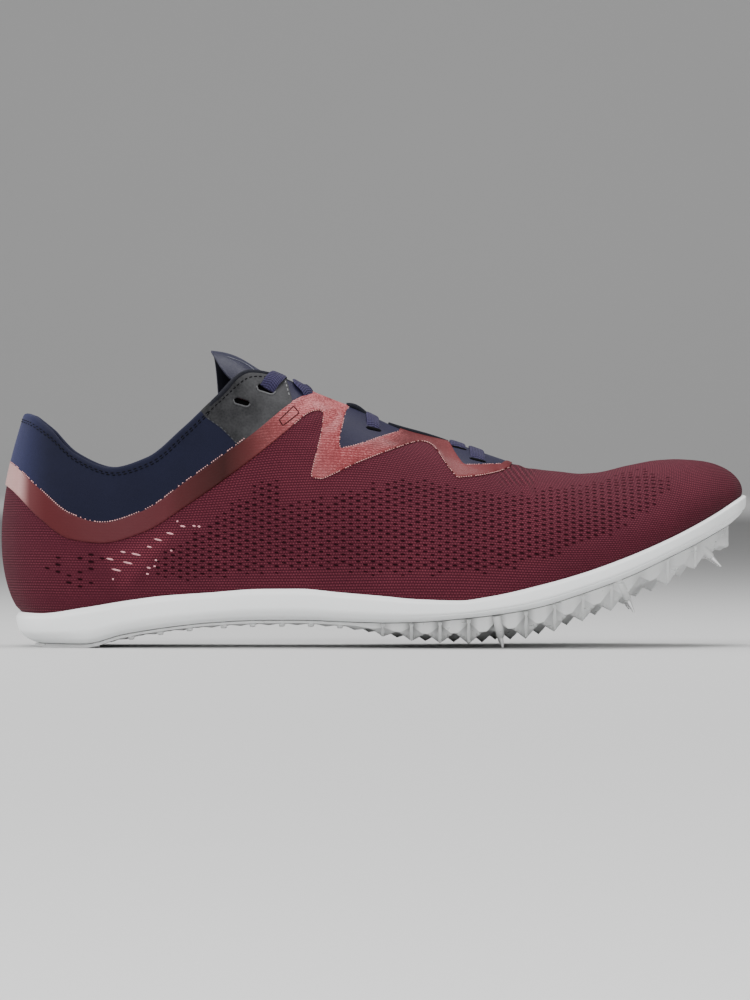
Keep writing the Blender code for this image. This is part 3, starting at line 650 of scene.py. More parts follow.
def make_mesh(name: str, shell: Shell, outwards: bool = True, sharp_angle: float = 40.0) -> bpy.types.Mesh:
    """Blender mesh of a shell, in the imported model's metres.

    Args:
        name: Name of the mesh.
        shell: Points and faces in millimetres.
        outwards: Whether the faces are turned to point outwards as a whole.
        sharp_angle: Edges that bend by more than this many degrees look sharp.

    Returns:
        The mesh, smooth shaded.
    """
    mesh = bpy.data.meshes.new(name)
    placed = (np.asarray(shell.points, dtype=float) - FRAME_ORIGIN) * MILLIMETRE
    mesh.from_pydata(placed.tolist(), [], shell.faces)
    if shell.kinds is not None:
        mesh.polygons.foreach_set("material_index", np.asarray(shell.kinds, dtype=np.int32))
    if outwards:
        work = bmesh.new()
        work.from_mesh(mesh)
        bmesh.ops.recalc_face_normals(work, faces=work.faces)
        work.to_mesh(mesh)
        work.free()
    if shell.pattern is not None:
        corners = np.zeros(len(mesh.loops), dtype=np.int32)
        mesh.loops.foreach_get("vertex_index", corners)
        layer = mesh.uv_layers.new(name="pattern")
        layer.data.foreach_set("uv", np.asarray(shell.pattern, dtype=np.float32)[corners].ravel())
    mesh.shade_smooth()
    mesh.set_sharp_from_angle(angle=math.radians(sharp_angle))
    return mesh


def add_object(name: str, mesh: bpy.types.Mesh) -> bpy.types.Object:
    """Puts a mesh in the scene as an object at the origin.

    Args:
        name: Name of the object.
        mesh: Its mesh.

    Returns:
        The object.
    """
    made = bpy.data.objects.new(name, mesh)
    bpy.context.scene.collection.objects.link(made)
    return made


def remove_object(made: bpy.types.Object) -> None:
    """Takes a helper object and its mesh out of the file.

    Args:
        made: The helper.
    """
    mesh = made.data
    bpy.data.objects.remove(made, do_unlink=True)
    bpy.data.meshes.remove(mesh)


def evaluated_copy(made: bpy.types.Object) -> bpy.types.Mesh:
    """Plain mesh of an object as its modifiers leave it.

    Args:
        made: The object with its modifiers.

    Returns:
        A new mesh.
    """
    bpy.context.view_layer.update()
    graph = bpy.context.evaluated_depsgraph_get()
    final = made.evaluated_get(graph)
    return bpy.data.meshes.new_from_object(final, preserve_all_data_layers=True, depsgraph=graph)


def settle(piece: bpy.types.Object, slot: str, *nodes: str) -> bpy.types.Object:
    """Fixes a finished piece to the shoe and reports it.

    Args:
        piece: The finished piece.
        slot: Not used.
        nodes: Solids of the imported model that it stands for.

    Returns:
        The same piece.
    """
    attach(piece, BODY)
    if nodes:
        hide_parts(*nodes)
    piece.data.calc_loop_triangles()
    log.info("%s: %d triangles", piece.name, len(piece.data.loop_triangles))
    return piece


def make_piece(name: str, shell: Shell, finishes: Sequence["Finish"], slot: str, nodes: Sequence[str] = (),
               outwards: bool = True, sharp_angle: float = 40.0) -> bpy.types.Object:
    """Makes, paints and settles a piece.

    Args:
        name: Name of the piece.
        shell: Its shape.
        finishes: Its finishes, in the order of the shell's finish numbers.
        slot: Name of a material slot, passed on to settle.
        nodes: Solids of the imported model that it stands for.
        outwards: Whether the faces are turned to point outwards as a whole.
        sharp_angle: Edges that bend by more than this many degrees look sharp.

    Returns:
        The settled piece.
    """
    mesh = make_mesh(name, shell, outwards, sharp_angle)
    for finish in finishes:
        mesh.materials.append(finish.material())
    return settle(add_object(name, mesh), slot, *nodes)


# Outlines drawn in side view or on the skin
def rounded(corners: Corners, steps: int = 5) -> Outline:
    """Open line through corners, each eased by its own radius.

    Args:
        corners: Station, height and easing length of each corner.
        steps: Points in an eased corner.

    Returns:
        The line's points.
    """
    places, most = np.array([corner[:2] for corner in corners]), 0.48
    line: Outline = [tuple(places[0])]
    for before, corner, after, (*_, reach) in zip(places, places[1:], places[2:], corners[1:]):
        if reach <= 0.0:
            line.append(tuple(corner))
            continue
        start, end = (corner + (other - corner) * min(reach / np.linalg.norm(other - corner), most)
                      for other in (before, after))
        for s in np.linspace(0.0, 1.0, steps):
            line.append(tuple((1 - s) ** 2 * start + 2 * s * (1 - s) * corner + s ** 2 * end))
    line.append(tuple(places[-1]))
    return line


def resample(line: Array, step: float, closed: bool) -> Array:
    """Points spaced evenly along a line.

    Args:
        line: The line's points.
        step: Wanted spacing.
        closed: Whether the line returns to its start.

    Returns:
        The new points; a closed line doesn't repeat its first point.
    """
    line = np.asarray(line, dtype=float)
    if closed:
        line = np.concatenate([line, line[:1]])
    along = lengths_along(line)
    keep = np.concatenate([[True], np.diff(along) > 1e-9])
    count = max(2, int(round(along[-1] / step)))
    where = np.linspace(0.0, along[-1], count + 1)
    points = np.stack([np.interp(where, along[keep], line[keep, k]) for k in range(line.shape[1])], axis=-1)
    return points[:-1] if closed else points


def inside(points: Array, loop: Array) -> Array:
    """Which points lie inside a closed loop in the plane.

    Args:
        points: Points to test.
        loop: Corners of the loop.

    Returns:
        True for each point inside.
    """
    ahead = np.roll(loop, -1, axis=0)
    x, y = points[:, :1], points[:, 1:2]
    spans = (loop[None, :, 1] > y) != (ahead[None, :, 1] > y)
    rise = ahead[:, 1] - loop[:, 1]
    rise = np.where(np.abs(rise) < 1e-12, 1e-12, rise)
    cross = (ahead[:, 0] - loop[:, 0]) * (y - loop[:, 1]) / rise + loop[:, 0]
    return np.sum(spans & (x < cross), axis=1) % 2 == 1


def edge_distance(points: Array, loop: Array) -> Array:
    """Distance in the plane from points to a closed loop.

    Args:
        points: Points to measure.
        loop: Corners of the loop.

    Returns:
        A distance for each point.
    """
    ahead = np.roll(loop, -1, axis=0)
    run = ahead - loop
    length = np.maximum(np.sum(run ** 2, axis=1), 1e-12)
    best, batch = np.full(len(points), np.inf), 2000
    for start in range(0, len(points), batch):
        part = points[start:start + batch]
        share = np.clip(np.einsum("nmk,mk->nm", part[:, None] - loop[None], run) / length, 0.0, 1.0)
        foot = loop[None] + share[..., None] * run[None]
        best[start:start + batch] = np.min(np.linalg.norm(part[:, None] - foot, axis=2), axis=1)
    return best


@dataclass
class Panel:
    """A thin panel cut to an outline on the skin, with softly rounded edges.

    Outlines are lists of (place round the loop, height t).
    """

    last: Last
    thickness: float
    base_lift: float = 0.02
    edge_radius: float = 0.6
    step: float = 1.3
    flat_girth: float = 80.0

    def flatten(self, outline: Array) -> Array:
        """Skin places laid out in the plane, in about millimetres."""
        outline = np.asarray(outline, dtype=float)
        return np.stack([self.last.arc(outline[:, 0]), outline[:, 1] * self.flat_girth], axis=-1)

    def unflatten(self, flat: Array) -> tuple[Array, Array]:
        """Places round the loop and heights t of points in the plane."""
        return self.last.unarc(flat[:, 0]), flat[:, 1] / self.flat_girth

    def shell(self, outline: Array, holes: Sequence[Array] = ()) -> Shell:
        """Cuts the panel.

        Args:
            outline: Closed outline on the skin.
            holes: Closed outlines of openings.

        Returns:
            The closed panel.
        """
        edge_step = 0.55 * self.step
        loops = [resample(self.flatten(loop), edge_step, True) for loop in (outline, *holes)]
        low, high = loops[0].min(axis=0), loops[0].max(axis=0)
        grid = plane_grid(*(np.arange(low[k], high[k], self.step) for k in range(2)))
        inner = [self._kept(grid, loops, 0.6 * self.step)]
        for share in (0.35, 1.0):
            reach = share * self.edge_radius
            ring = np.concatenate([self._inset(loop, reach, hole) for hole, loop in enumerate(loops)])
            inner.append(self._kept(ring, loops, 0.9 * reach))
        points = np.concatenate(loops + inner)
        edges, start = [], 0
        for loop in loops:
            count = len(loop)
            edges += [(start + i, start + (i + 1) % count) for i in range(count)]
            start += count
        made = delaunay_2d_cdt([Vector(point) for point in points], edges, [], 1, 1e-5, False)
        flat = np.array([tuple(point) for point in made[0]])
        faces = [tuple(face) for face in made[2]]
        centres = np.array([flat[list(face)].mean(axis=0) for face in faces])
        kept = inside(centres, loops[0])
        for hole in loops[1:]:
            kept &= ~inside(centres, hole)
        cut = drop_unused(Shell(flat, [face for face, keep in zip(faces, kept) if keep]))
        return self._raise(cut.points, cut.faces, loops)

    def _raise(self, flat: Array, faces: list[Face], loops: list[Array]) -> Shell:
        """Lifts the flat panel onto the skin and closes it.

        Args:
            flat: Points in the plane.
            faces: Their faces.
            loops: The panel's edges.

        Returns:
            The closed panel.
        """
        away = np.min([edge_distance(flat, loop) for loop in loops], axis=0)
        ease = 1.0 - np.clip(away / self.edge_radius, 0.0, 1.0)
        lift = self.base_lift + self.thickness * (0.25 + 0.75 * np.sqrt(1.0 - ease ** 2))
        around, t = self.unflatten(flat)
        front = self.last.skin(around, t, lift)
        back = self.last.skin(around, t, np.full(len(flat), self.base_lift))
        return thicken(front, back, faces, self.last.pattern(around, t))

    @staticmethod
    def _inset(loop: Array, reach: float, hole: int) -> Array:
        """Points a little inside an outline, or outside a hole.

        Args:
            loop: Corners of the edge.
            reach: How far inside.
            hole: 0 for the outer edge.

        Returns:
            A point for each corner.
        """
        ahead, behind = np.roll(loop, -1, axis=0), np.roll(loop, 1, axis=0)
        along = unit(ahead - behind)
        turn = np.sum(loop[:, 0] * ahead[:, 1] - ahead[:, 0] * loop[:, 1])
        sign = np.sign(turn) * (-1.0 if hole else 1.0)
        return loop + sign * reach * np.stack([-along[:, 1], along[:, 0]], axis=-1)

    @staticmethod
    def _kept(points: Array, loops: list[Array], clear: float) -> Array:
        """Points inside the panel and at least a distance from every edge.

        Args:
            points: Points in the plane.
            loops: The panel's edges.
            clear: The distance.

        Returns:
            The points that stay.
        """
        points = points[inside(points, loops[0])]
        for loop in loops:
            points = points[edge_distance(points, loop) >= clear]
        for hole in loops[1:]:
            points = points[~inside(points, hole)]
        return points


# Node trees
class Value:
    """A number socket that takes part in Python arithmetic, adding its Math nodes."""

    def __init__(self, builder: "NodeBuilder", socket: bpy.types.NodeSocket) -> None:
        """Wraps a socket of a builder's tree."""
        self.builder = builder
        self.socket = socket

    def math(self, operation: str, *others: "Feed") -> "Value":
        """Adds one Math node.

        Args:
            operation: The node's operation.
            others: Its further inputs.

        Returns:
            The node's result.
        """
        made = self.builder.node("ShaderNodeMath", {"operation": operation}, dict(enumerate((self, *others))))
        return Value(self.builder, made.outputs[0])

    def __add__(self, other: "Feed") -> "Value":
        """Sum."""
        return self.math("ADD", other)

    __radd__ = __add__

    def __sub__(self, other: "Feed") -> "Value":
        """Difference."""
        return self.math("SUBTRACT", other)

    def __rsub__(self, other: float) -> "Value":
        """Difference from a number on the left."""
        return (self * -1.0) + other

    def __mul__(self, other: "Feed") -> "Value":
        """Product."""
        return self.math("MULTIPLY", other)

    __rmul__ = __mul__

    def __truediv__(self, other: "Feed") -> "Value":
        """Quotient."""
        return self.math("DIVIDE", other)

    def held(self, low: float, high: float) -> "Value":
        """This number, held between two others."""
        return self.math("MAXIMUM", low).math("MINIMUM", high)

    def wave(self) -> "Value":
        """Sine of this number, brought to 0 to 1."""
        return self.math("SINE") * 0.5 + 0.5

    def step(self, low: float, high: float) -> "Value":
        """Smooth rise from 0 at one value to 1 at another.

        Args:
            low: Where the result is 0.
            high: Where it is 1.

        Returns:
            The result.
        """
        made = self.builder.node("ShaderNodeMapRange", {"interpolation_type": "SMOOTHSTEP"},
                                 {"Value": self, "From Min": low, "From Max": high})
        return Value(self.builder, made.outputs["Result"])


Feed = Union[Value, bpy.types.NodeSocket, float, Sequence[float], bpy.types.ID, str]


class NodeBuilder:
    """Adds nodes to a tree, settings first and then sockets."""

    def __init__(self, tree: bpy.types.NodeTree) -> None:
        """Keeps the tree."""
        self.tree = tree

    def node(self, kind: str, settings: Optional[dict] = None,
             inputs: Optional[dict] = None) -> bpy.types.Node:
        """Adds one node.

        Args:
            kind: The node's type.
            settings: Its own properties; stops are a colour ramp's places and colours.
            inputs: Values or links of its sockets, by name or number.

        Returns:
            The node.
        """
        made = self.tree.nodes.new(kind)
        for name, value in (settings or {}).items():
            if name == "stops":
                self._set_stops(made, value)
            else:
                setattr(made, name, value)
        for name, value in (inputs or {}).items():
            self.feed(made.inputs[name], value)
        return made

    def feed(self, socket: bpy.types.NodeSocket, value: Feed) -> None:
        """Links or sets one input socket.

        Args:
            socket: The input.
            value: What it gets.
        """
        if isinstance(value, Value):
            self.tree.links.new(value.socket, socket)
        elif isinstance(value, bpy.types.NodeSocket):
            self.tree.links.new(value, socket)
        else:
            socket.default_value = value

    @staticmethod
    def _set_stops(ramp: bpy.types.Node, stops: Sequence[tuple[float, Sequence[float]]]) -> None:
        """Gives a colour ramp its places and colours.

        Args:
            ramp: The ramp's node.
            stops: Each place and its colour.
        """
        elements = ramp.color_ramp.elements
        while len(elements) < len(stops):
            elements.new(1.0)
        for element, (place, colour) in zip(elements, stops):
            element.position = place
            element.color = (*colour, 1.0)


class Painter(NodeBuilder):
    """Builds one material's nodes around a Principled shader."""

    def __init__(self, name: str) -> None:
        """Starts a material of that name.

        Args:
            name: Name of the material.
        """
        self.made = bpy.data.materials.new(name)
        self.made.use_nodes = True
        super().__init__(self.made.node_tree)
        self.shader = self.tree.nodes["Principled BSDF"]

    def set(self, **sockets: Feed) -> None:
        """Sets or links the shader's sockets.

        Args:
            sockets: What each socket gets, an underscore in its name standing for a space.
        """
        for name, value in sockets.items():
            if isinstance(value, tuple) and len(value) == 3 and "Color" in name:
                value = (*value, 1.0)
            self.feed(self.shader.inputs[name.replace("_", " ")], value)

    def place(self) -> tuple[Value, Value]:
        """The two pattern numbers of a surface point, in millimetres.

        Returns:
            Both numbers.
        """
        source = self.node("ShaderNodeUVMap", {"uv_map": "pattern"})
        parts = self.node("ShaderNodeSeparateXYZ", None, {"Vector": source.outputs["UV"]})
        return Value(self, parts.outputs["X"]), Value(self, parts.outputs["Y"])

    def where(self) -> tuple[bpy.types.NodeSocket, Value, Value, Value]:
        """Object coordinates: the vector, and its three parts in metres.

        Returns:
            The vector and its X, Y and Z.
        """
        source = self.node("ShaderNodeTexCoord").outputs["Object"]
        parts = self.node("ShaderNodeSeparateXYZ", None, {"Vector": source})
        return (source, *(Value(self, parts.outputs[axis]) for axis in "XYZ"))

    def noise(self, vector: bpy.types.NodeSocket, scale: float, detail: float = 3.0,
              rough: float = 0.55) -> Value:
        """Cloudy noise about 0 to 1.

        Args:
            vector: Where to read it.
            scale: Its fineness.
            detail: Its layers.
            rough: How strong the finer layers are.

        Returns:
            The noise.
        """
        inputs = {"Vector": vector, "Scale": scale, "Detail": detail, "Roughness": rough}
        made = self.node("ShaderNodeTexNoise", None, inputs)
        return Value(self, made.outputs["Fac"])

    def cells(self, vector: bpy.types.NodeSocket, scale: float, feature: str = "F1") -> Value:
        """Distance inside scattered cells."""
        made = self.node("ShaderNodeTexVoronoi", {"feature": feature}, {"Vector": vector, "Scale": scale})
        return Value(self, made.outputs["Distance"])

    def stretched(self, vector: bpy.types.NodeSocket, scale: Sequence[float]) -> bpy.types.NodeSocket:
        """A vector scaled differently along its axes."""
        return self.node("ShaderNodeMapping", None, {"Vector": vector, "Scale": scale}).outputs["Vector"]

    def ramp(self, factor: Value, stops: Sequence[tuple[float, Colour]]) -> bpy.types.NodeSocket:
        """A colour read from a ramp."""
        return self.node("ShaderNodeValToRGB", {"stops": stops}, {"Fac": factor}).outputs["Color"]

    def mix(self, factor: Feed, first: Feed, second: Feed) -> bpy.types.NodeSocket:
        """A colour between two colours.

        Args:
            factor: 0 for the first, 1 for the second.
            first: One colour.
            second: The other.

        Returns:
            The colour.
        """
        ends = [(*end, 1.0) if isinstance(end, tuple) else end for end in (first, second)]
        made = self.node("ShaderNodeMix", {"data_type": "RGBA"}, {0: factor, 6: ends[0], 7: ends[1]})
        return made.outputs[2]

    def bump(self, height: Value, depth: float, strength: float = 1.0,
             under: Optional[bpy.types.NodeSocket] = None) -> bpy.types.NodeSocket:
        """Normal of a relief.

        Args:
            height: Height of the relief, 0 to 1.
            depth: Its depth in metres.
            strength: How much of it shows.
            under: Normal of a relief below it.

        Returns:
            The normal.
        """
        inputs = {"Height": height, "Distance": depth, "Strength": strength}
        if under is not None:
            inputs["Normal"] = under
        return self.node("ShaderNodeBump", None, inputs).outputs["Normal"]


@dataclass(frozen=True)
class Finish:
    """A material of the shoe, made once and then shared."""

    name: str
    colour: Colour
    roughness: float = 0.7

    def toned(self, share: float) -> Colour:
        """The finish's colour, made darker or paler."""
        return tuple(share * part for part in self.colour)

    def material(self) -> bpy.types.Material:
        """The finish's material.

        Returns:
            The material, the same one each time.
        """
        existing = bpy.data.materials.get(self.name)
        if existing:
            return existing
        painter = Painter(self.name)
        painter.set(Base_Color=self.colour, Roughness=self.roughness)
        self.paint(painter)
        return painter.made

    def paint(self, painter: Painter) -> None:
        """Adds the finish's own detail: here a faint cloudiness.

        Args:
            painter: Builder of the material's nodes.
        """
        vector, *_ = painter.where()
        cloud = painter.noise(vector, 900.0)
        darker = self.toned(0.7)
        painter.set(Base_Color=painter.mix(cloud, darker, self.colour), Specular_IOR_Level=0.08)
        painter.set(Normal=painter.bump(cloud, 0.0001, 0.5))


@dataclass(frozen=True)
class Knit(Finish):
    """Engineered knit: staggered loops, turning to flat ribs round the heel."""

    light: Colour = (0.2, 0.04, 0.06)
    course: float = 0.95
    wale: float = 1.1
    rib: float = 1.05
    heel_end: float = -0.095
    depth: float = 0.00028

    def paint(self, painter: Painter) -> None:
        """Loops and ribs in bump and colour, over a broad cloudiness, and small wrinkles near the front of
        the throat in bump, with a painted highlight and shade in colour.

        Args:
            painter: Builder of the material's nodes.
        """
        u, v = painter.place()
        vector, x, _, z = painter.where()
        row = (v / self.course).math("FLOOR")
        shift = row.math("MODULO", 2.0) * 0.5
        loop = ((u / self.wale + shift) * TURN).wave()
        ridge = (v * (math.pi / self.course)).math("SINE").math("ABSOLUTE")
        dots = loop * 0.55 * ridge + ridge * 0.45
        ribs = (v * (TURN / self.rib)).wave()
        wobble = painter.noise(vector, 700.0, 2.0)
        heel = 1.0 - (x + wobble * 0.02).step(self.heel_end, self.heel_end + 0.03)
        weave = dots * (1.0 - heel) + (ribs * 0.20 + dots * 0.72) * heel
        cloud = painter.noise(vector, 28.0, 4.0)
        speck = painter.noise(vector, 1500.0, 2.0)
        fan = (z - 0.0365 - (x + 0.1045) * 0.26).step(0.005, -0.004)
        fan = fan * (z - 0.0204 - (x + 0.0960) * 1.1).step(-0.003, 0.004)
        fan = fan * (z - 0.0202 + (x + 0.0960) * 1.9).step(-0.004, 0.012)
        # Wrinkles near the front of the throat: real relief in the bump, and in colour a painted highlight on
        # their crests and painted shade in their troughs.
        throat = x.step(0.046, 0.049) * (1.0 - x.step(0.058, 0.064)) * z.step(0.060, 0.063)
        wrinkle_relief_and_light = ((x * 0.8 + z * 0.6 + wobble * 0.0012) * (TURN / 0.0017)).math("SINE") * throat
        shade = weave * (0.66 + fan * 0.30) + speck * 0.26 + cloud * 0.30 - 0.14 + wrinkle_relief_and_light * 0.16
        stops = ((0.0, self.toned(0.42)), (0.5, self.colour), (1.0, self.light))
        tone = painter.ramp(shade.held(0.0, 1.0), stops)
        painter.set(Base_Color=tone, Roughness=0.95 - weave * 0.15)
        painter.set(Sheen_Weight=0.02, Sheen_Roughness=0.5, Specular_IOR_Level=0.12)
        painter.set(Normal=painter.bump(weave + speck * 0.35 + wrinkle_relief_and_light * 1.1, self.depth, 0.9))


@dataclass(frozen=True)
class Film(Finish):
    """Thin glossy film that shows the knit's rows through it, its tone changing along the shoe, with painted
    highlights on the heel's back and the arms.
    """

    light: Colour = (0.5, 0.14, 0.13)
    rib: float = 1.15
    # Station and colour along the shoe: partly the film's own colour, partly painted light; the pale stops at
    # 2 and 8 paint a highlight on the heel's back, and the lighter stops from 107 to 146 paint the light
    # falling on the arms.
    tones: tuple[tuple[float, float, float, float], ...] = (
        (2.0, 0.46, 0.29, 0.275), (8.0, 0.40, 0.22, 0.21), (12.0, 0.105, 0.026, 0.029),
        (18.0, 0.082, 0.0150, 0.0175), (50.0, 0.084, 0.0165, 0.0210), (64.0, 0.080, 0.0140, 0.0180),
        (70.0, 0.058, 0.0088, 0.0105), (86.0, 0.026, 0.0030, 0.0025), (96.0, 0.075, 0.012, 0.013),
        (107.0, 0.185, 0.038, 0.041), (119.0, 0.25, 0.060, 0.066), (131.0, 0.20, 0.028, 0.033),
        (146.0, 0.19, 0.036, 0.040), (154.0, 0.100, 0.0200, 0.0225), (166.0, 0.105, 0.0200, 0.0225),
        (176.0, 0.155, 0.032, 0.035), (197.0, 0.100, 0.0155, 0.019))

    def paint(self, painter: Painter) -> None:
        """Fine rows, a painted mottled sheen and a painted highlight high on the arms, and a thin coat.

        Args:
            painter: Builder of the material's nodes.
        """
        _, v = painter.place()
        vector, x, _, z = painter.where()
        rows = (v * (TURN / self.rib)).wave()
        grain = painter.noise(painter.stretched(vector, (1500.0, 1500.0, 2700.0)), 1.0, 2.0, 0.6)
        mottle = painter.noise(vector, 240.0, 3.0)
        wrinkle = painter.noise(painter.stretched(vector, (90.0, 90.0, 240.0)), 1.0, 3.0)
        arms = x.step(-0.052, -0.030) * (1.0 - x.step(0.006, 0.016) * 0.6)
        span = self.tones[-1][0]
        stops = tuple((row[0] / span, row[1:]) for row in self.tones)
        place = (x / MILLIMETRE + FRAME_ORIGIN[0]) / span
        tone = painter.ramp(place, stops)
        # Painted sheen: grain, mottle, rows and wrinkles push the colour towards the pale highlight colour,
        # mostly on the arms, and towards the dark colour where they dip.
        sheen = (grain - 0.5) * (arms * 1.9 + 0.35) + (mottle - 0.5) * (arms * 0.6 + 0.15)
        sheen = sheen + (rows - 0.5) * (arms * 0.34 + 0.06) + (wrinkle - 0.5) * arms * 0.6
        # Painted highlight high on the arms; lower down the painted sheen is weaker.
        high = z.step(0.084, 0.095) * arms * 0.30 - (1.0 - z.step(0.066, 0.080)) * 0.10
        painted_highlight = (sheen * (arms * 0.85 + 0.10) + high).held(0.0, 0.7)
        dark = (sheen * -0.9).held(0.0, 0.7)
        painter.set(Base_Color=painter.mix(dark, painter.mix(painted_highlight, tone, self.light), self.colour))
        painter.set(Roughness=self.roughness + 0.12 + mottle * 0.16)
        painter.set(Specular_IOR_Level=0.10, Coat_Weight=arms * 0.10 + 0.02, Coat_Roughness=0.16)
        relief = rows * (0.12 + arms * 0.35) + grain * (0.3 + arms * 0.7) + wrinkle * arms * 2.2
        painter.set(Normal=painter.bump(relief, 0.00016, 0.5))


@dataclass(frozen=True)
class Brushed(Finish):
    """Soft brushed textile of the collar, windows and tongue."""

    light: Colour = (0.1, 0.1, 0.2)
    sheen: float = 0.5
    grain: float = 2600.0
    # Strength of a painted highlight on the heel's back.
    heel: float = 0.0

    def paint(self, painter: Painter) -> None:
        """Fine nap with faint clouds and flecks, and a painted highlight on the heel's back when heel is set.

        Args:
            painter: Builder of the material's nodes.
        """
        vector, x, *_ = painter.where()
        nap = painter.noise(vector, self.grain, 4.0, 0.7)
        cloud = painter.noise(vector, 60.0, 3.0)
        fleck = painter.cells(vector, 1200.0).step(0.14, 0.05)
        tone = (nap * 0.7 + cloud * 0.5 - 0.32 + fleck * 0.08).held(0.0, 1.0)
        # Painted highlight: towards the heel's back the cloth turns paler, by the heel strength.
        back = 1.0 - x.step(-0.140, -0.122)
        paler = tuple(4.2 * part for part in self.light)
        cloth = painter.mix(tone, self.colour, self.light)
        painter.set(Base_Color=painter.mix(back * self.heel * nap, cloth, paler) if self.heel else cloth)
        painter.set(Roughness=self.roughness - nap * 0.12)
        painter.set(Sheen_Weight=self.sheen, Sheen_Roughness=0.4, Sheen_Tint=(0.55, 0.56, 0.85, 1.0))
        painter.set(Specular_IOR_Level=0.18)
        painter.set(Normal=painter.bump(nap, 0.00015, 0.5))


@dataclass(frozen=True)
class Leather(Finish):
    """Smooth synthetic leather with a fine pebble grain."""

    light: Colour = (0.09, 0.09, 0.095)

    def paint(self, painter: Painter) -> None:
        """Pebbles and pores in bump; in colour, soft blotches that paint uneven highlights, and painted shade
        towards the rear.

        Args:
            painter: Builder of the material's nodes.
        """
        vector, x, *_ = painter.where()
        pebble = painter.cells(vector, 1300.0, "SMOOTH_F1")
        pores = painter.noise(vector, 3000.0, 2.0)
        # Soft blotches: a mottle in colour and roughness, and painted highlights.
        mottle_and_highlight = painter.noise(vector, 75.0, 3.0)
        # Painted shade: the patch is darker towards its rear and lighter towards its front.
        front = x.step(-0.064, -0.036)
        tone = (mottle_and_highlight * 1.5 + pebble * 0.35 - 0.85 + front * 0.65).held(0.0, 1.0)
        painter.set(Base_Color=painter.mix(tone, self.colour, self.light))
        painter.set(Roughness=self.roughness + pores * 0.15 - mottle_and_highlight * 0.1, Specular_IOR_Level=0.12)
        painter.set(Normal=painter.bump(pebble + pores * 0.3, 0.00012, 0.5))


@dataclass(frozen=True)
class Woven(Finish):
    """Flat woven lace with ribs across it, read from its own pattern: along and across, in millimetres."""

    light: Colour = (0.13, 0.12, 0.27)
    rib: float = 0.95
    strand: float = 1.1

    def paint(self, painter: Painter) -> None:
        """Chevron ribs in bump and colour.

        Args:
            painter: Builder of the material's nodes.
        """
        u, v = painter.place()
        slant = v.math("ABSOLUTE") * 0.35
        ribs = ((u + slant) * (TURN / self.rib)).wave()
        strands = (v * (TURN / self.strand)).wave()
        vector, *_ = painter.where()
        fuzz = painter.noise(vector, 2400.0, 3.0)
        weave = ribs * 0.65 + strands * 0.25 + fuzz * 0.2
        painter.set(Base_Color=painter.mix(weave.math("MINIMUM", 1.0), self.colour, self.light))
        painter.set(Roughness=0.85 - ribs * 0.1, Sheen_Weight=0.05, Specular_IOR_Level=0.15)
        painter.set(Normal=painter.bump(weave, 0.00035, 0.9))


@dataclass(frozen=True)
class Foam(Finish):
    """Moulded foam with a satin skin and a fine cell texture."""

    def paint(self, painter: Painter) -> None:
        """Faint cells and slight cloudy greying.

        Args:
            painter: Builder of the material's nodes.
        """
        vector, *_ = painter.where()
        cell = painter.cells(vector, 1700.0)
        cloud = painter.noise(vector, 40.0, 3.0)
        greyed = self.toned(0.92)
        painter.set(Base_Color=painter.mix((cloud * 0.9 - 0.2).math("MAXIMUM", 0.0), self.colour, greyed))
        painter.set(Roughness=self.roughness + cloud * 0.12)
        painter.set(Subsurface_Weight=0.08, Subsurface_Radius=(0.004, 0.004, 0.004), Subsurface_Scale=0.5)
        painter.set(Normal=painter.bump(cell + cloud, 0.00008, 0.35))


@dataclass(frozen=True)
class ClearPlastic(Finish):
    """Translucent moulded plastic with flow marks."""

    transmission: float = 0.55

    def paint(self, painter: Painter) -> None:
        """Uneven gloss, cloudiness and shallow flow marks, with painted shade deep in the teeth and in the
        notches between them.

        Args:
            painter: Builder of the material's nodes.
        """
        vector, x, *_ = painter.where()
        flow = painter.noise(painter.stretched(vector, (120.0, 260.0, 420.0)), 1.0, 4.0)
        fine = painter.noise(vector, 900.0, 2.0)
        depth, slope = painter.place()
        rear = 1.0 - x.step(0.045, 0.085)
        milky = tuple(min(1.0, 1.25 * part) for part in self.colour)
        painted_shade_tone = self.toned(0.10)
        # Painted shade: darker deep in the teeth and in the notches between them, more so towards the rear.
        shaded = depth.step(0.3, 1.0) * (rear * 0.65 + 0.08) + slope.step(0.05, 0.9) * (rear * 0.55 + 0.22)
        shaded = (shaded + (flow - 0.5) * 0.2).held(0.0, 0.9)
        painter.set(Base_Color=painter.mix(shaded, painter.mix(flow, self.colour, milky), painted_shade_tone))
        painter.set(Roughness=self.roughness + flow * 0.22)
        painter.set(Transmission_Weight=self.transmission, IOR=1.45, Coat_Weight=0.25, Coat_Roughness=0.12)
        painter.set(Normal=painter.bump(flow + fine * 0.25, 0.0004, 0.45))


@dataclass(frozen=True)
class Steel(Finish):
    """Turned steel with fine tool rings."""

    def paint(self, painter: Painter) -> None:
        """Rings along the pin, with uneven polish.

        Args:
            painter: Builder of the material's nodes.
        """
        vector, x, _, z = painter.where()
        rings = (z * 9000.0 + x * 2500.0).wave()
        haze = painter.noise(vector, 1200.0, 3.0)
        painter.set(Metallic=1.0, Roughness=self.roughness + haze * 0.18)
        dull = self.toned(0.8)
        painter.set(Base_Color=painter.mix(haze, dull, self.colour))
        painter.set(Normal=painter.bump(rings, 0.00003, 0.3))


@dataclass(frozen=True)
class Thread(Finish):
    """Sewing thread with a twist."""

    def paint(self, painter: Painter) -> None:
        """Slanting twist in bump and tone.

        Args:
            painter: Builder of the material's nodes.
        """
        _, x, _, z = painter.where()
        twist = ((x + z) * 12000.0).wave()
        darker = self.toned(0.55)
        painter.set(Base_Color=painter.mix(twist, darker, self.colour), Specular_IOR_Level=0.12)
        painter.set(Normal=painter.bump(twist, 0.00008, 0.6))


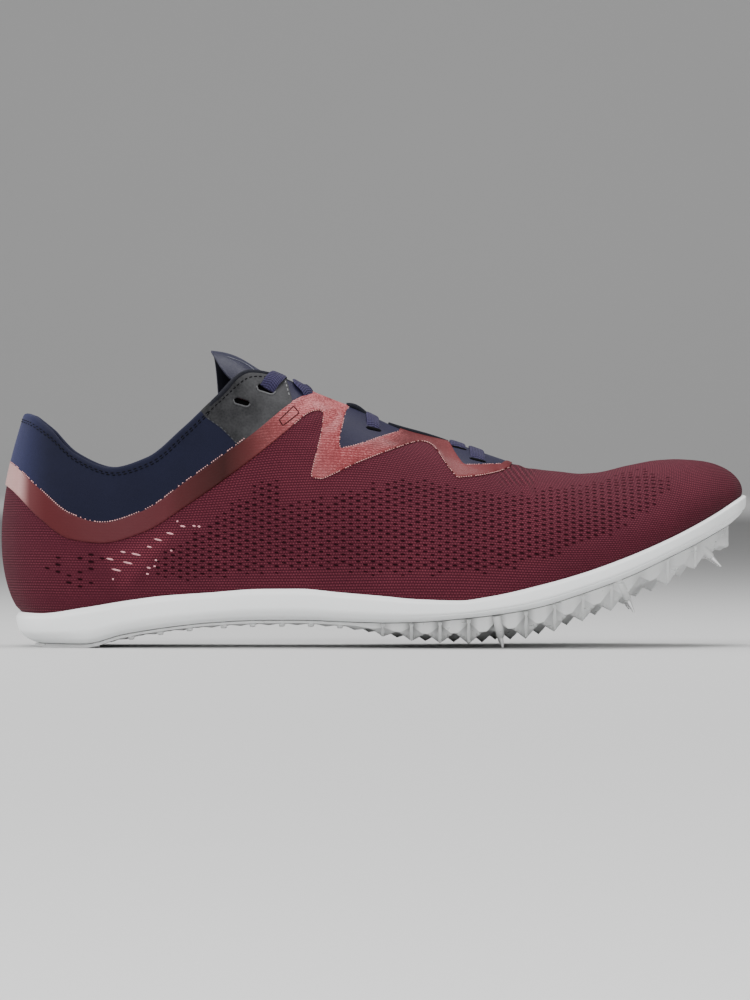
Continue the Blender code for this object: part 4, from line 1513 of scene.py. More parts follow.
KNIT = Knit("knit_burgundy", (0.072, 0.0110, 0.0210), 0.85, light=(0.205, 0.040, 0.058))
LINING = Brushed("lining_navy", (0.004, 0.0044, 0.008), 0.9, light=(0.010, 0.011, 0.019), sheen=0.04)
# The collar's heel setting paints a highlight on the heel's back.
COLLAR = Brushed("collar_navy", (0.0030, 0.0038, 0.0135), 0.85, light=(0.0085, 0.0098, 0.033), sheen=0.10,
                 heel=0.75)
WINDOW = Brushed("window_navy", (0.0092, 0.0082, 0.0230), 0.6, light=(0.0200, 0.0178, 0.0490), sheen=0.05,
                 grain=1500.0)
TONGUE = Brushed("tongue_navy", (0.0070, 0.0070, 0.0185), 0.5, light=(0.020, 0.0200, 0.046), sheen=0.10)
# The film's light colour is the colour of its painted sheen and highlights.
FILM = Film("film_red", (0.050, 0.0070, 0.0072), 0.3, light=(0.60, 0.21, 0.215))
PATCH = Leather("patch_grey", (0.0090, 0.0092, 0.0104), 0.6, light=(0.0620, 0.0620, 0.0650))
PIPING = Brushed("piping_dark", (0.0028, 0.0030, 0.0050), 0.9, light=(0.0190, 0.0200, 0.0300), sheen=0.06,
                 grain=1100.0)
LACE = Woven("lace_purple", (0.0085, 0.0070, 0.0220), 0.85, light=(0.042, 0.0345, 0.090))
FOAM = Foam("foam_white", (0.94, 0.96, 0.96), 0.42)
PLATE = ClearPlastic("plate_clear", (0.86, 0.88, 0.87), 0.2, transmission=0.4)
STEEL = Steel("pin_steel", (0.97, 0.97, 0.97), 0.42)
THREAD_DARK = Thread("thread_dark", (0.0014, 0.0015, 0.0034), 0.8)
THREAD_PALE = Thread("thread_pale", (0.30, 0.30, 0.31), 0.7)
THREAD_DULL = Thread("thread_dull", (0.060, 0.062, 0.070), 0.7)
# Pale flecks along the film's cut edge are painted highlights.
CUT_EDGE_GLINT = Thread("film_cut_edge_glint", (0.72, 0.38, 0.36), 0.45)
TACK = Thread("film_tack_thread", (0.055, 0.0075, 0.0085), 0.6)
# Pale satin colour of the painted highlight along the tongue's fold.
TONGUE_FOLD_HIGHLIGHT = Brushed("tongue_painted_fold_highlight", (0.050, 0.052, 0.075), 0.35, light=(0.12, 0.12, 0.15), sheen=0.1)
# Pale lip along each lace slot's lower edge, a painted highlight.
PATCH_EDGE_HIGHLIGHT = Leather("patch_edge_highlight", (0.052, 0.053, 0.056), 0.5, light=(0.125, 0.125, 0.130))
PALE_YARN = Thread("yarn_pale", (0.84, 0.42, 0.45), 0.7)
# Painted shade: the dark floors of the knit's holes, the darker lips round them, and the dark floors of the
# lace slots and slits.
HOLE_SHADE = Finish("hole_painted_shade", (0.0150, 0.0030, 0.0055), 0.95)
KNIT_LIP_SHADE = Finish("knit_lip_painted_shade", (0.052, 0.0062, 0.0130), 0.9)
SLIT_SHADE = Finish("slit_painted_shade", (0.0012, 0.0012, 0.0016), 0.95)


# Geometry Nodes recipes for what repeats or follows a line
class Spots(NamedTuple):
    """Places of small repeated shapes: points, directions out and along, and scales on three axes."""

    points: Array
    facing: Array
    along: Array
    size: Array


class Recipe(NodeBuilder):
    """A Geometry Nodes tree with named inputs, ending in one realised and painted mesh."""

    def __init__(self, name: str, inputs: dict[str, str]) -> None:
        """Starts a tree.

        Args:
            name: Name of the tree.
            inputs: Its named inputs and their socket types.
        """
        tree = bpy.data.node_groups.new(name, "GeometryNodeTree")
        super().__init__(tree)
        tree.interface.new_socket("Geometry", in_out="INPUT", socket_type="NodeSocketGeometry")
        for label, kind in inputs.items():
            tree.interface.new_socket(label, in_out="INPUT", socket_type=kind)
        tree.interface.new_socket("Geometry", in_out="OUTPUT", socket_type="NodeSocketGeometry")
        self.start = self.node("NodeGroupInput")

    def attribute(self, name: str) -> bpy.types.NodeSocket:
        """A vector that each point carries."""
        made = self.node("GeometryNodeInputNamedAttribute", {"data_type": "FLOAT_VECTOR"}, {"Name": name})
        return made.outputs["Attribute"]

    def close(self, geometry: bpy.types.NodeSocket) -> None:
        """Realises the instances, paints them and ends the tree.

        Args:
            geometry: What the tree has made.
        """
        real = self.node("GeometryNodeRealizeInstances", None, {"Geometry": geometry})
        painted = self.node("GeometryNodeSetMaterial", None, {"Geometry": real.outputs["Geometry"],
                                                              "Material": self.start.outputs["Material"]})
        self.node("NodeGroupOutput", None, {"Geometry": painted.outputs["Geometry"]})

    def run(self, source: bpy.types.Object, name: str, **values: object) -> bpy.types.Object:
        """Runs the tree on a helper object, which it uses up.

        Args:
            source: Helper that carries the points or line.
            name: Name of the new object.
            values: The tree's named inputs.

        Returns:
            A plain mesh object.
        """
        modifier = source.modifiers.new("recipe", "NODES")
        modifier.node_group = self.tree
        for item in self.tree.interface.items_tree:
            if item.in_out == "INPUT" and item.name in values:
                modifier[item.identifier] = values[item.name]
        mesh = evaluated_copy(source)
        mesh.name = name
        source.modifiers.remove(modifier)
        remove_object(source)
        return add_object(name, mesh)


class Recipes:
    """The two trees of this shoe, built once."""

    def __init__(self) -> None:
        """Builds the trees."""
        tree = Recipe("scatter_on_skin", {"Shape": "NodeSocketObject", "Material": "NodeSocketMaterial"})
        self.scatter = tree
        turn = tree.node("FunctionNodeAxesToRotation", {"primary_axis": "Z", "secondary_axis": "X"},
                         {0: tree.attribute("facing"), 1: tree.attribute("along")})
        shape = tree.node("GeometryNodeObjectInfo", {"transform_space": "ORIGINAL"},
                          {"Object": tree.start.outputs["Shape"], "As Instance": True})
        placed = tree.node("GeometryNodeInstanceOnPoints", None,
                           {"Points": tree.start.outputs["Geometry"], "Instance": shape.outputs["Geometry"],
                            "Rotation": turn.outputs["Rotation"], "Scale": tree.attribute("size")})
        tree.close(placed.outputs["Instances"])
        tree = Recipe("sweep_along_line", {"Radius": "NodeSocketFloat", "Sides": "NodeSocketInt",
                                           "Material": "NodeSocketMaterial"})
        self.sweep = tree
        line = tree.node("GeometryNodeMeshToCurve", None, {"Mesh": tree.start.outputs["Geometry"]})
        ring = tree.node("GeometryNodeCurvePrimitiveCircle", None,
                         {"Resolution": tree.start.outputs["Sides"], "Radius": tree.start.outputs["Radius"]})
        tube = tree.node("GeometryNodeCurveToMesh", None,
                         {"Curve": line.outputs["Curve"], "Profile Curve": ring.outputs["Curve"],
                          "Fill Caps": True})
        tree.close(tube.outputs["Mesh"])

    def scattered(self, name: str, shape: Shell, spots: Sequence[Spots], finish: Finish, slot: str) -> None:
        """Builds and settles a piece that repeats a small shape at places of a surface.

        Args:
            name: Name of the piece.
            shape: The shape in millimetres about its own origin, its Z away from the surface.
            spots: Groups of places.
            finish: The finish of all of them.
            slot: Name of a material slot, passed on to settle.
        """
        places = Spots(*(np.concatenate(parts) for parts in zip(*spots)))
        model_mesh = bpy.data.meshes.new(name + "_shape")
        model_mesh.from_pydata((np.asarray(shape.points) * MILLIMETRE).tolist(), [], shape.faces)
        model_mesh.shade_smooth()
        model = add_object(name + "_shape", model_mesh)
        mesh = bpy.data.meshes.new(name + "_points")
        mesh.from_pydata(((places.points - FRAME_ORIGIN) * MILLIMETRE).tolist(), [], [])
        for label in ("facing", "along", "size"):
            layer = mesh.attributes.new(label, "FLOAT_VECTOR", "POINT")
            layer.data.foreach_set("vector", np.asarray(getattr(places, label), dtype=np.float32).ravel())
        source = add_object(name + "_points", mesh)
        made = self.scatter.run(source, name, Shape=model, Material=finish.material())
        remove_object(model)
        settle(made, slot)

    def swept(self, name: str, lines: Iterable[Array], radius: float, finish: Finish, slot: str,
              sides: int = 8) -> None:
        """Builds and settles a round cord along one or more lines.

        Args:
            name: Name of the piece.
            lines: Lines of points in millimetres.
            radius: Radius of the cord in millimetres.
            finish: Its finish.
            slot: Name of a material slot, passed on to settle.
            sides: Sides of its section.
        """
        points, edges = [], []
        for line in lines:
            first = len(points)
            points += ((np.asarray(line) - FRAME_ORIGIN) * MILLIMETRE).tolist()
            edges += [(first + i, first + i + 1) for i in range(len(line) - 1)]
        mesh = bpy.data.meshes.new(name + "_line")
        mesh.from_pydata(points, edges, [])
        source = add_object(name + "_line", mesh)
        made = self.sweep.run(source, name, Radius=radius * MILLIMETRE, Sides=sides,
                              Material=finish.material())
        made.data.shade_smooth()
        settle(made, slot)


def bead_shape(length: float, width: float, height: float, sides: int = 6, rings: int = 4) -> Shell:
    """Small closed bead, long along X.

    Args:
        length: Length along X.
        width: Width along Y.
        height: Full height along Z.
        sides: Points round its section.
        rings: Steps along it.

    Returns:
        The bead about its own origin.
    """
    points, half = [], 0.5 * np.array([length, width, height])
    for place in np.linspace(-1.0, 1.0, rings + 1)[1:-1]:
        reach = math.sqrt(1.0 - 0.92 * place ** 4)
        for turn in np.arange(sides) * TURN / sides:
            points.append(half * (place, reach * math.cos(turn), reach * math.sin(turn)))
    first, tail = len(points), (rings - 2) * sides
    points += [half * (-1.0, 0.0, 0.0), half * (1.0, 0.0, 0.0)]
    faces = ring_faces(rings - 1, sides)
    faces += [(first, (i + 1) % sides, i) for i in range(sides)]
    faces += [(first + 1, tail + i, tail + (i + 1) % sides) for i in range(sides)]
    return Shell(np.array(points), faces)


# The upper and what is laid on it
@dataclass
class Assembly:
    """A part of the shoe that is put together on the last, with the recipes at hand."""

    last: Last
    recipes: Recipes

    def on_skin(self, side: Side, line: Outline) -> Array:
        """Skin places of a line drawn in side view."""
        stations, heights = zip(*line)
        return np.stack(self.last.locate(side, np.array(stations), np.array(heights)), axis=-1)

    def on_rim(self, side: Side, start: float, end: float, t: float, step: float = 1.0) -> Array:
        """Skin places along the rim.

        Args:
            side: Which side of the shoe.
            start: Station of the first place.
            end: Station of the last place.
            t: Their height up the skin.
            step: About how far apart they are.

        Returns:
            Places round the loop and heights t.
        """
        stations = np.linspace(start, end, max(3, int(abs(end - start) / step)))
        places = self.last.rim_place(stations) * side.value
        return np.stack([places, np.full(len(places), t)], axis=-1)

    def band_edge(self, side: Side, start: float, end: float, edge: Curve, drop: float = 0.0,
                  count: int = 60) -> Array:
        """Skin places along an edge of the film band.

        Args:
            side: Which side of the shoe.
            start: First place round the loop.
            end: Last place round the loop.
            edge: The edge's height at each station.
            drop: How far below the edge the places are.
            count: How many there are.

        Returns:
            Places round the loop and heights t.
        """
        places = np.linspace(start, end, count) * side.value
        lowered = Curve(edge.at, edge.values - drop)
        return np.stack([places, self.last.level(places, lowered)], axis=-1)

    def raised(self, line: Array, lift: Union[float, Array]) -> Array:
        """Points of a line of skin places, lifted off the skin."""
        return self.last.skin(line[:, 0], line[:, 1], lift)

    def spots_along(self, line: Array, lift: float, pitch: float) -> Spots:
        """Places for stitches along a line on the skin.

        Args:
            line: Skin places of the line.
            lift: Distance off the skin.
            pitch: Spacing of the stitches.

        Returns:
            One place for each stitch, at full size.
        """
        path = resample(self.raised(line, lift), pitch, False)
        count = len(path) - 1
        share = np.linspace(0, len(line) - 1, count)
        around, t = (np.interp(share, np.arange(len(line)), line[:, k]) for k in range(2))
        facing, _ = self.last.frame(around, t)
        return Spots(0.5 * (path[1:] + path[:-1]), facing, unit(np.diff(path, axis=0)), np.ones((count, 3)))


class Slot(NamedTuple):
    """A lace slot in side view: its middle, length, width and slope in degrees."""

    station: float
    height: float
    length: float
    width: float
    angle: float

    def outline(self, grow: float = 0.0, steps: int = 6) -> Outline:
        """Two straight edges with round ends.

        Args:
            grow: How much longer and wider it is drawn.
            steps: Steps round each end.

        Returns:
            The closed outline.
        """
        turn = math.radians(self.angle)
        along = np.array([math.cos(turn), math.sin(turn)])
        across = np.array([-along[1], along[0]])
        length, width = self.length + grow, self.width + grow
        outline = []
        for end in (1.0, -1.0):
            for sweep in np.linspace(-0.5 * math.pi, 0.5 * math.pi, steps + 1):
                reach = 0.5 * (length - width) + 0.5 * width * math.cos(sweep)
                away = along * reach + across * 0.5 * width * math.sin(sweep)
                outline.append(tuple(np.array([self.station, self.height]) + end * away))
        return outline


class HoleField(NamedTuple):
    """A field of holes: its outline in side view, their spacing along the shoe and up it, their size."""

    zone: Zone
    pitch: float
    rise: float
    scale: float


class Yarn(NamedTuple):
    """A pale yarn float: its middle in side view and its length against a plain one."""

    station: float
    height: float
    length: float


SLOTS = (Slot(92.8, 93.0, 6.0, 2.2, -16.0), Slot(101.9, 97.9, 6.8, 2.6, -18.0))


@dataclass
class Upper(Assembly):
    """Hollow knitted wall with its rows of slit holes."""

    side_columns: int = 150
    toe_columns: int = 64
    rows: int = 46
    roll_rows: int = 6
    buried: float = -0.016
    lining_drop: float = 1.0
    cutter_half: float = 70.0
    hole_length: float = 1.62
    hole_width: float = 0.66
    hole_slope: float = -0.12
    hole_sides: int = 10
    lattice_span: Pair = (15.0, 130.0)
    lattice_miss: float = 0.4
    lattice_t: Pair = (0.02, 0.995)
    heel_chance: float = 0.55
    edge_chance: float = 0.35
    edge_fade: float = 4.0
    edge_scale: float = 0.75
    edge_growth: float = 12.0
    size_spread: Pair = (0.88, 1.1)
    width_spread: Pair = (0.85, 1.15)
    slope_spread: float = 0.06
    lip_rings: Zone = ((0.24, -0.04), (0.10, 0.08), (0.0, 0.02))
    floor_ring: Pair = (0.04, 0.045)
    yarn_slope: float = -0.22
    yarn_lift: float = 0.04
    yarn_size: Triple = (1.15, 0.72, 0.4)
    seed: int = 11
    side_holes: HoleField = HoleField((
        (58.5, 26.0), (72.0, 25.2), (84.0, 26.6), (96.0, 28.0), (114.6, 28.6), (133.7, 28.0),
        (152.8, 27.3), (172.0, 27.2), (183.4, 28.0), (195.2, 29.8), (201.3, 32.0), (209.7, 33.6),
        (218.5, 38.6), (227.3, 40.6), (235.7, 44.4), (241.4, 48.2), (249.8, 53.6), (255.2, 59.0),
        (255.2, 64.4), (247.0, 68.0), (236.0, 66.4), (225.4, 62.5), (206.3, 60.6), (191.0, 58.8),
        (179.5, 60.4), (168.1, 62.6), (155.5, 64.8), (141.3, 62.4), (136.0, 60.7), (126.0, 57.3),
        (114.6, 55.7), (108.9, 56.0), (107.0, 66.0), (100.0, 63.5), (93.6, 58.0), (87.9, 53.6),
        (78.3, 47.4), (70.0, 41.5), (63.0, 36.5), (58.5, 31.0)), 2.8, 2.3, 1.0)
    heel_holes: HoleField = HoleField((
        (15.0, 31.0), (20.0, 24.0), (32.0, 22.5), (42.0, 27.0), (44.0, 33.5), (38.0, 37.5), (29.0, 36.5)),
        4.2, 2.6, 1.15)
    yarns: tuple[Yarn, ...] = (
        Yarn(43.2, 33.7, 2.8), Yarn(48.1, 36.4, 2.0), Yarn(53.0, 35.5, 3.6), Yarn(49.9, 32.3, 3.6),
        Yarn(45.6, 29.6, 3.6), Yarn(61.3, 41.0, 3.1), Yarn(65.8, 43.4, 2.9), Yarn(70.6, 46.1, 2.1),
        Yarn(68.6, 48.0, 0.8), Yarn(60.5, 33.3, 1.0), Yarn(60.0, 31.0, 0.9), Yarn(57.8, 30.4, 1.6),
        Yarn(57.3, 28.1, 1.2), Yarn(44.3, 26.1, 0.8), Yarn(66.3, 36.9, 0.9), Yarn(74.9, 46.2, 1.3),
        Yarn(76.8, 46.0, 1.2), Yarn(58.0, 38.3, 1.8))

    def build(self) -> None:
        """Builds the wall, then its holes and pale yarns."""
        self._wall()
        self._holes()
        self._pale_yarns()

    def _loop(self) -> Array:
        """Places of the wall's columns round the shoe, evenly spaced along each part.

        Returns:
            Places round the loop, from the heel past the toe and back.
        """
        last = self.last
        throat, tip = float(last.arc(THROAT_END)), float(last.arc(TOE))
        side = last.unarc(np.linspace(0.0, throat, self.side_columns + 1))
        toe = last.unarc(np.linspace(throat, tip, self.toe_columns + 1))
        side[-1] = toe[0] = THROAT_END
        lateral = np.concatenate([side, toe[1:]])
        lateral[-1] = TOE
        return np.concatenate([lateral, -lateral[-2:0:-1]])

    def _wall(self) -> None:
        """The closed knitted wall, its inside lined, with the lace slots cut through it."""
        last, loop = self.last, self._loop()
        t = np.concatenate([[self.buried], np.linspace(0.0, 1.0, self.rows)])
        count, rows = len(loop), len(t)
        around = np.repeat(loop, rows)
        outer = last.skin(around, np.tile(t, count))
        inner_t = 1.0 + last.roll_span + 1e-6 + 1.0 - np.clip(t, 0.0, 1.0)
        inner = last.skin(around, np.tile(inner_t, count))
        inner[::rows, 2] -= self.lining_drop

        def index(c: int, r: int) -> int:
            """Point number, shared by the two sides along the toe's ridge.

            Args:
                c: Column, counted round the loop.
                r: Row up the skin.

            Returns:
                The number.
            """
            c %= count
            if r == rows - 1 and loop[c] < 0.0 and -loop[c] >= THROAT_END:
                c = count - c
            return c * rows + r

        total = count * rows
        outside = [(index(c, r), index(c + 1, r), index(c + 1, r + 1), index(c, r + 1))
                   for c in range(count) for r in range(rows - 1)]
        lining = [tuple(total + i for i in reversed(face)) for face in outside]
        foot = [(here, total + here, total + ahead, ahead)
                for here, ahead in ((index(c, 0), index(c + 1, 0)) for c in range(count))]
        ring = [c for c in range(count) if abs(loop[c]) < THROAT_END or loop[c] == THROAT_END]
        roll_t = 1.0 + last.roll_span * np.arange(1, self.roll_rows) / self.roll_rows
        roll_places = np.repeat(loop[ring], len(roll_t)), np.tile(roll_t, len(ring))

        def over(k: int) -> list[int]:
            """Point numbers over the rim, from the outside to the lining.

            Args:
                k: Place in the open part of the rim.

            Returns:
                The numbers in order.
            """
            edge = index(ring[k], rows - 1)
            first = 2 * total + k * len(roll_t)
            return [edge, *range(first, first + len(roll_t)), total + edge]

        rim = []
        for k in range(len(ring)):
            here, ahead = over(k), over((k + 1) % len(ring))
            rim += [(here[j], ahead[j], ahead[j + 1], here[j + 1]) for j in range(len(here) - 1)]
        points = np.concatenate([outer, inner, last.skin(*roll_places)])
        places = last.pattern(around, np.tile(t, count))
        pattern = np.concatenate([places, places, last.pattern(*roll_places)])
        kinds = np.concatenate([np.zeros(len(outside)), np.ones(len(lining) + len(foot)), np.zeros(len(rim))])
        shell = drop_unused(Shell(points, outside + lining + foot + rim, pattern, kinds.astype(int)))
        made = add_object("upper_knit", make_mesh("upper_knit", shell))
        made.data.materials.append(KNIT.material())
        made.data.materials.append(LINING.material())
        settle(self._cut_slots(made), "knit", "upper")

    def _cut_slots(self, made: bpy.types.Object) -> bpy.types.Object:
        """Cuts the lace slots through both sides of the wall.

        Args:
            made: The whole wall.

        Returns:
            The same object, its mesh cut.
        """
        cutters = []
        for slot in SLOTS:
            outline = slot.outline()
            count = len(outline)
            points = [(x, side, z) for side in (-self.cutter_half, self.cutter_half) for x, z in outline]
            ends = [tuple(range(count)), tuple(range(2 * count - 1, count - 1, -1))]
            cutters.append(Shell(np.array(points), ends + ring_faces(2, count)))
        cutter = add_object("slot_cutter", make_mesh("slot_cutter", joined(cutters)))
        modifier = made.modifiers.new("slots", "BOOLEAN")
        modifier.operation = "DIFFERENCE"
        modifier.solver = "EXACT"
        modifier.object = cutter
        mesh = evaluated_copy(made)
        mesh.name = "upper_knit_cut"
        made.modifiers.remove(modifier)
        plain = made.data
        made.data = mesh
        bpy.data.meshes.remove(plain)
        remove_object(cutter)
        return made

    def _lattice(self, field: HoleField, side: Side) -> tuple[Array, Array, Array]:
        """Staggered places inside a field of holes.

        Args:
            field: The field.
            side: Which side of the shoe.

        Returns:
            Places round the loop, heights t and points.
        """
        loop = np.array(field.zone)
        columns = np.arange(loop[:, 0].min(), loop[:, 0].max(), field.pitch)
        lengths = np.arange(*self.lattice_span, field.rise)
        stations = np.repeat(columns, len(lengths))
        odd = np.repeat(np.arange(len(columns)) % 2, len(lengths))
        ups = np.tile(lengths, len(columns)) + 0.5 * field.rise * odd
        around, t = self.last.locate(side, stations, ups, by_girth=True)
        points = self.last.skin(around, t)
        landed = np.abs(points[:, 0] - stations) < self.lattice_miss
        lowest, highest = self.lattice_t
        kept = landed & (t > lowest) & (t < highest) & inside(points[:, [0, 2]], loop)
        return around[kept], t[kept], points[kept]

    def _holes(self) -> None:
        """Rows of slit holes: a soft lip, coloured darker as painted shade, round a dark floor of painted
        shade.
        """
        draw = np.random.default_rng(self.seed)
        fields = [(side, field) for side in Side for field in (self.side_holes, self.heel_holes)]
        parts = [self._lattice(field, side) for side, field in fields]
        counts = [len(part[0]) for part in parts]
        around, t, points = (np.concatenate(columns) for columns in zip(*parts))
        scale = np.repeat([field.scale for _, field in fields], counts)
        at_heel = np.repeat([field is self.heel_holes for _, field in fields], counts)
        edge = edge_distance(points[:, [0, 2]], np.array(self.side_holes.zone))
        near_edge = np.clip(self.edge_chance + edge / self.edge_fade, 0.0, 1.0)
        kept = draw.random(len(points)) < np.where(at_heel, self.heel_chance, near_edge)
        around, t, points, scale, edge = (values[kept] for values in (around, t, points, scale, edge))
        smaller = np.clip(self.edge_scale + edge / self.edge_growth, 0.0, 1.0)
        grow = scale * smaller * draw.uniform(*self.size_spread, len(points))
        facing, along = self.last.frame(around, t)
        along[:, 2] = self.hole_slope + draw.uniform(-self.slope_spread, self.slope_spread, len(points))
        wide = grow * draw.uniform(*self.width_spread, len(points))
        size = np.stack([grow, wide, np.ones(len(points))], axis=-1)
        spots = [Spots(points, facing, along, size)]
        lip, floor = self._hole_shapes()
        self.recipes.scattered("knit_hole_lips", lip, spots, KNIT_LIP_SHADE, "knit")
        self.recipes.scattered("knit_hole_floors", floor, spots, HOLE_SHADE, "knit")

    def _hole_shapes(self) -> tuple[Shell, Shell]:
        """Lip and floor of one slit hole, its waist slightly pinched.

        Returns:
            The lip and the floor.
        """
        sides = self.hole_sides
        turn = np.arange(sides) * TURN / sides
        pinch = 1.0 - 0.25 * np.exp(-(np.cos(turn) / 0.35) ** 2)

        def ring(reach: float, height: float) -> Array:
            """One ring of the lip."""
            long, wide = 0.5 * self.hole_length + reach, 0.5 * self.hole_width * pinch + reach
            return np.stack([long * np.cos(turn), wide * np.sin(turn), np.full(sides, height)], axis=-1)

        lip = np.concatenate([ring(*row) for row in self.lip_rings])
        floor = Shell(ring(*self.floor_ring), [tuple(range(sides))])
        return Shell(lip, ring_faces(len(self.lip_rings), sides)), floor

    def _pale_yarns(self) -> None:
        """A few pale floats in the knit behind the ankle."""
        line = self.on_skin(Side.LATERAL, [(yarn.station, yarn.height) for yarn in self.yarns])
        facing, along = self.last.frame(line[:, 0], line[:, 1])
        along[:, 2] = self.yarn_slope
        size = np.array([(yarn.length, 1.0, 1.0) for yarn in self.yarns])
        spots = [Spots(self.raised(line, self.yarn_lift), facing, along, size)]
        self.recipes.scattered("knit_pale_yarns", bead_shape(*self.yarn_size), spots, PALE_YARN, "knit")


FILM_BAND = (
    (-6.0, 66.0, 73.5), (5.0, 59.9, 70.1), (16.0, 49.3, 60.8), (28.0, 41.2, 51.0), (40.0, 39.7, 47.6),
    (56.0, 43.9, 52.3), (72.0, 53.8, 63.4), (98.0, 72.5, 82.3), (111.0, 83.2, 92.8), (118.3, 89.6, 97.0))
FILM_LOWER, FILM_UPPER = (Curve([row[0] for row in FILM_BAND], [row[k] for row in FILM_BAND]) for k in (1, 2))


@dataclass
class FilmOverlay(Assembly):
    """Red film: a band round the heel that becomes zigzag lacing arms along the throat."""

    thickness: float = 0.6
    rim_t: float = 1.05
    tack: Zone = ((107.0, 86.1), (108.4, 83.9), (114.5, 88.7), (112.4, 91.3))
    tack_radius: float = 0.24
    tack_step: float = 0.8
    tack_lift: float = 0.02
    fleck_pitch: float = 0.95
    fleck_share: float = 0.82
    fleck_size: Triple = (1.0, 0.42, 0.34)
    fleck_lengths: Pair = (0.5, 1.0)
    band_fleck_lift: float = 0.68
    arm_fleck_lift: float = 0.42
    flecked: Pair = (0.15, 7.2)
    seed: int = 5
    shoulder: Zone = ((113.5, 94.2), (116.0, 95.4))
    arm_tops: Zone = ((118.6, 132.2), (153.6, 170.8))
    front_tip: Pair = (193.6, 195.4)
    window_1: Corners = (
        (132.5, 92.2, 0.0), (131.3, 86.4, 1.0), (129.8, 79.6, 1.0), (129.8, 75.4, 1.2), (136.0, 76.6, 3.0),
        (145.5, 79.8, 3.0), (152.0, 81.7, 0.0))
    window_2: Corners = (
        (171.4, 77.6, 0.0), (174.0, 73.1, 2.0), (176.9, 69.1, 1.2), (183.5, 69.2, 2.0), (191.0, 69.4, 0.0))
    lower: Corners = (
        (194.2, 68.0, 0.0), (189.6, 66.4, 3.0), (183.5, 65.2, 2.0), (174.2, 64.3, 0.9), (169.6, 70.2, 3.0),
        (167.1, 74.4, 2.5), (164.5, 77.2, 2.5), (160.7, 78.3, 2.5), (156.9, 77.5, 2.5), (151.9, 75.8, 2.0),
        (145.5, 73.6, 2.0), (136.0, 69.9, 2.0), (129.7, 66.8, 2.0), (123.2, 63.9, 1.2), (119.0, 64.6, 1.2),
        (121.1, 73.8, 3.0), (122.9, 81.0, 3.0), (123.9, 90.2, 2.6), (118.0, 89.3, 2.6), (112.6, 84.6, 0.0))

    def half_outline(self, side: Side) -> Array:
        """Skin places of one side's edge, from the heel's middle out and back.

        Args:
            side: Which side of the shoe.

        Returns:
            Places round the loop and heights t.
        """
        station, low, high = FILM_BAND[-2]
        lower_end, upper_end = self.on_skin(Side.LATERAL, [(station, low), (station, high)])[:, 0].tolist()
        return np.concatenate([
            self.band_edge(side, 0.0, upper_end, FILM_UPPER),
            self.on_skin(side, list(self.shoulder)),
            self.on_rim(side, *self.arm_tops[0], self.rim_t),
            self.on_skin(side, rounded(self.window_1)),
            self.on_rim(side, *self.arm_tops[1], self.rim_t),
            self.on_skin(side, rounded(self.window_2)),
            self.on_rim(side, *self.front_tip, 1.0),
            self.on_skin(side, rounded(self.lower)),
            self.band_edge(side, lower_end, 0.0, FILM_LOWER),
        ])

    def build(self) -> None:
        """Builds the film and the pale flecks along its cut edge."""
        lateral, medial = self.half_outline(Side.LATERAL), self.half_outline(Side.MEDIAL)
        outline = np.concatenate([lateral, medial[::-1]])
        shell = Panel(self.last, self.thickness, edge_radius=0.5, step=1.2).shell(outline)
        make_piece("film_red_overlay", shell, (FILM, FILM), "film", ["film_overlay"])
        self._flecks()
        self._tack()

    def _tack(self) -> None:
        """Outline of the pressed tack at the top of the first arm, on both sides."""
        lines = []
        for side in Side:
            ring = self.on_skin(side, resample(np.array(self.tack), self.tack_step, True).tolist())
            lines.append(self.raised(np.concatenate([ring, ring[:1]]), self.thickness + self.tack_lift))
        self.recipes.swept("film_tack", lines, self.tack_radius, TACK, "film", 6)

    def _flecks(self) -> None:
        """Pale flecks where the film's cut edge catches the light."""
        draw = np.random.default_rng(self.seed)
        rows = []
        for side in Side:
            arms = (self.lower, self.window_1, self.window_2[2:])
            lines = [(self.band_edge(side, *self.flecked, FILM_UPPER), self.band_fleck_lift)]
            lines += [(self.on_skin(side, rounded(arm)), self.arm_fleck_lift) for arm in arms]
            for line, lift in lines:
                spots = self.spots_along(line, lift, self.fleck_pitch)
                kept = draw.random(len(spots.points)) < self.fleck_share
                spots.size[:, 0] = draw.uniform(*self.fleck_lengths, len(spots.points))
                rows.append(Spots(*(part[kept] for part in spots)))
        self.recipes.scattered("film_edge_flecks", bead_shape(*self.fleck_size), rows, CUT_EDGE_GLINT, "film")


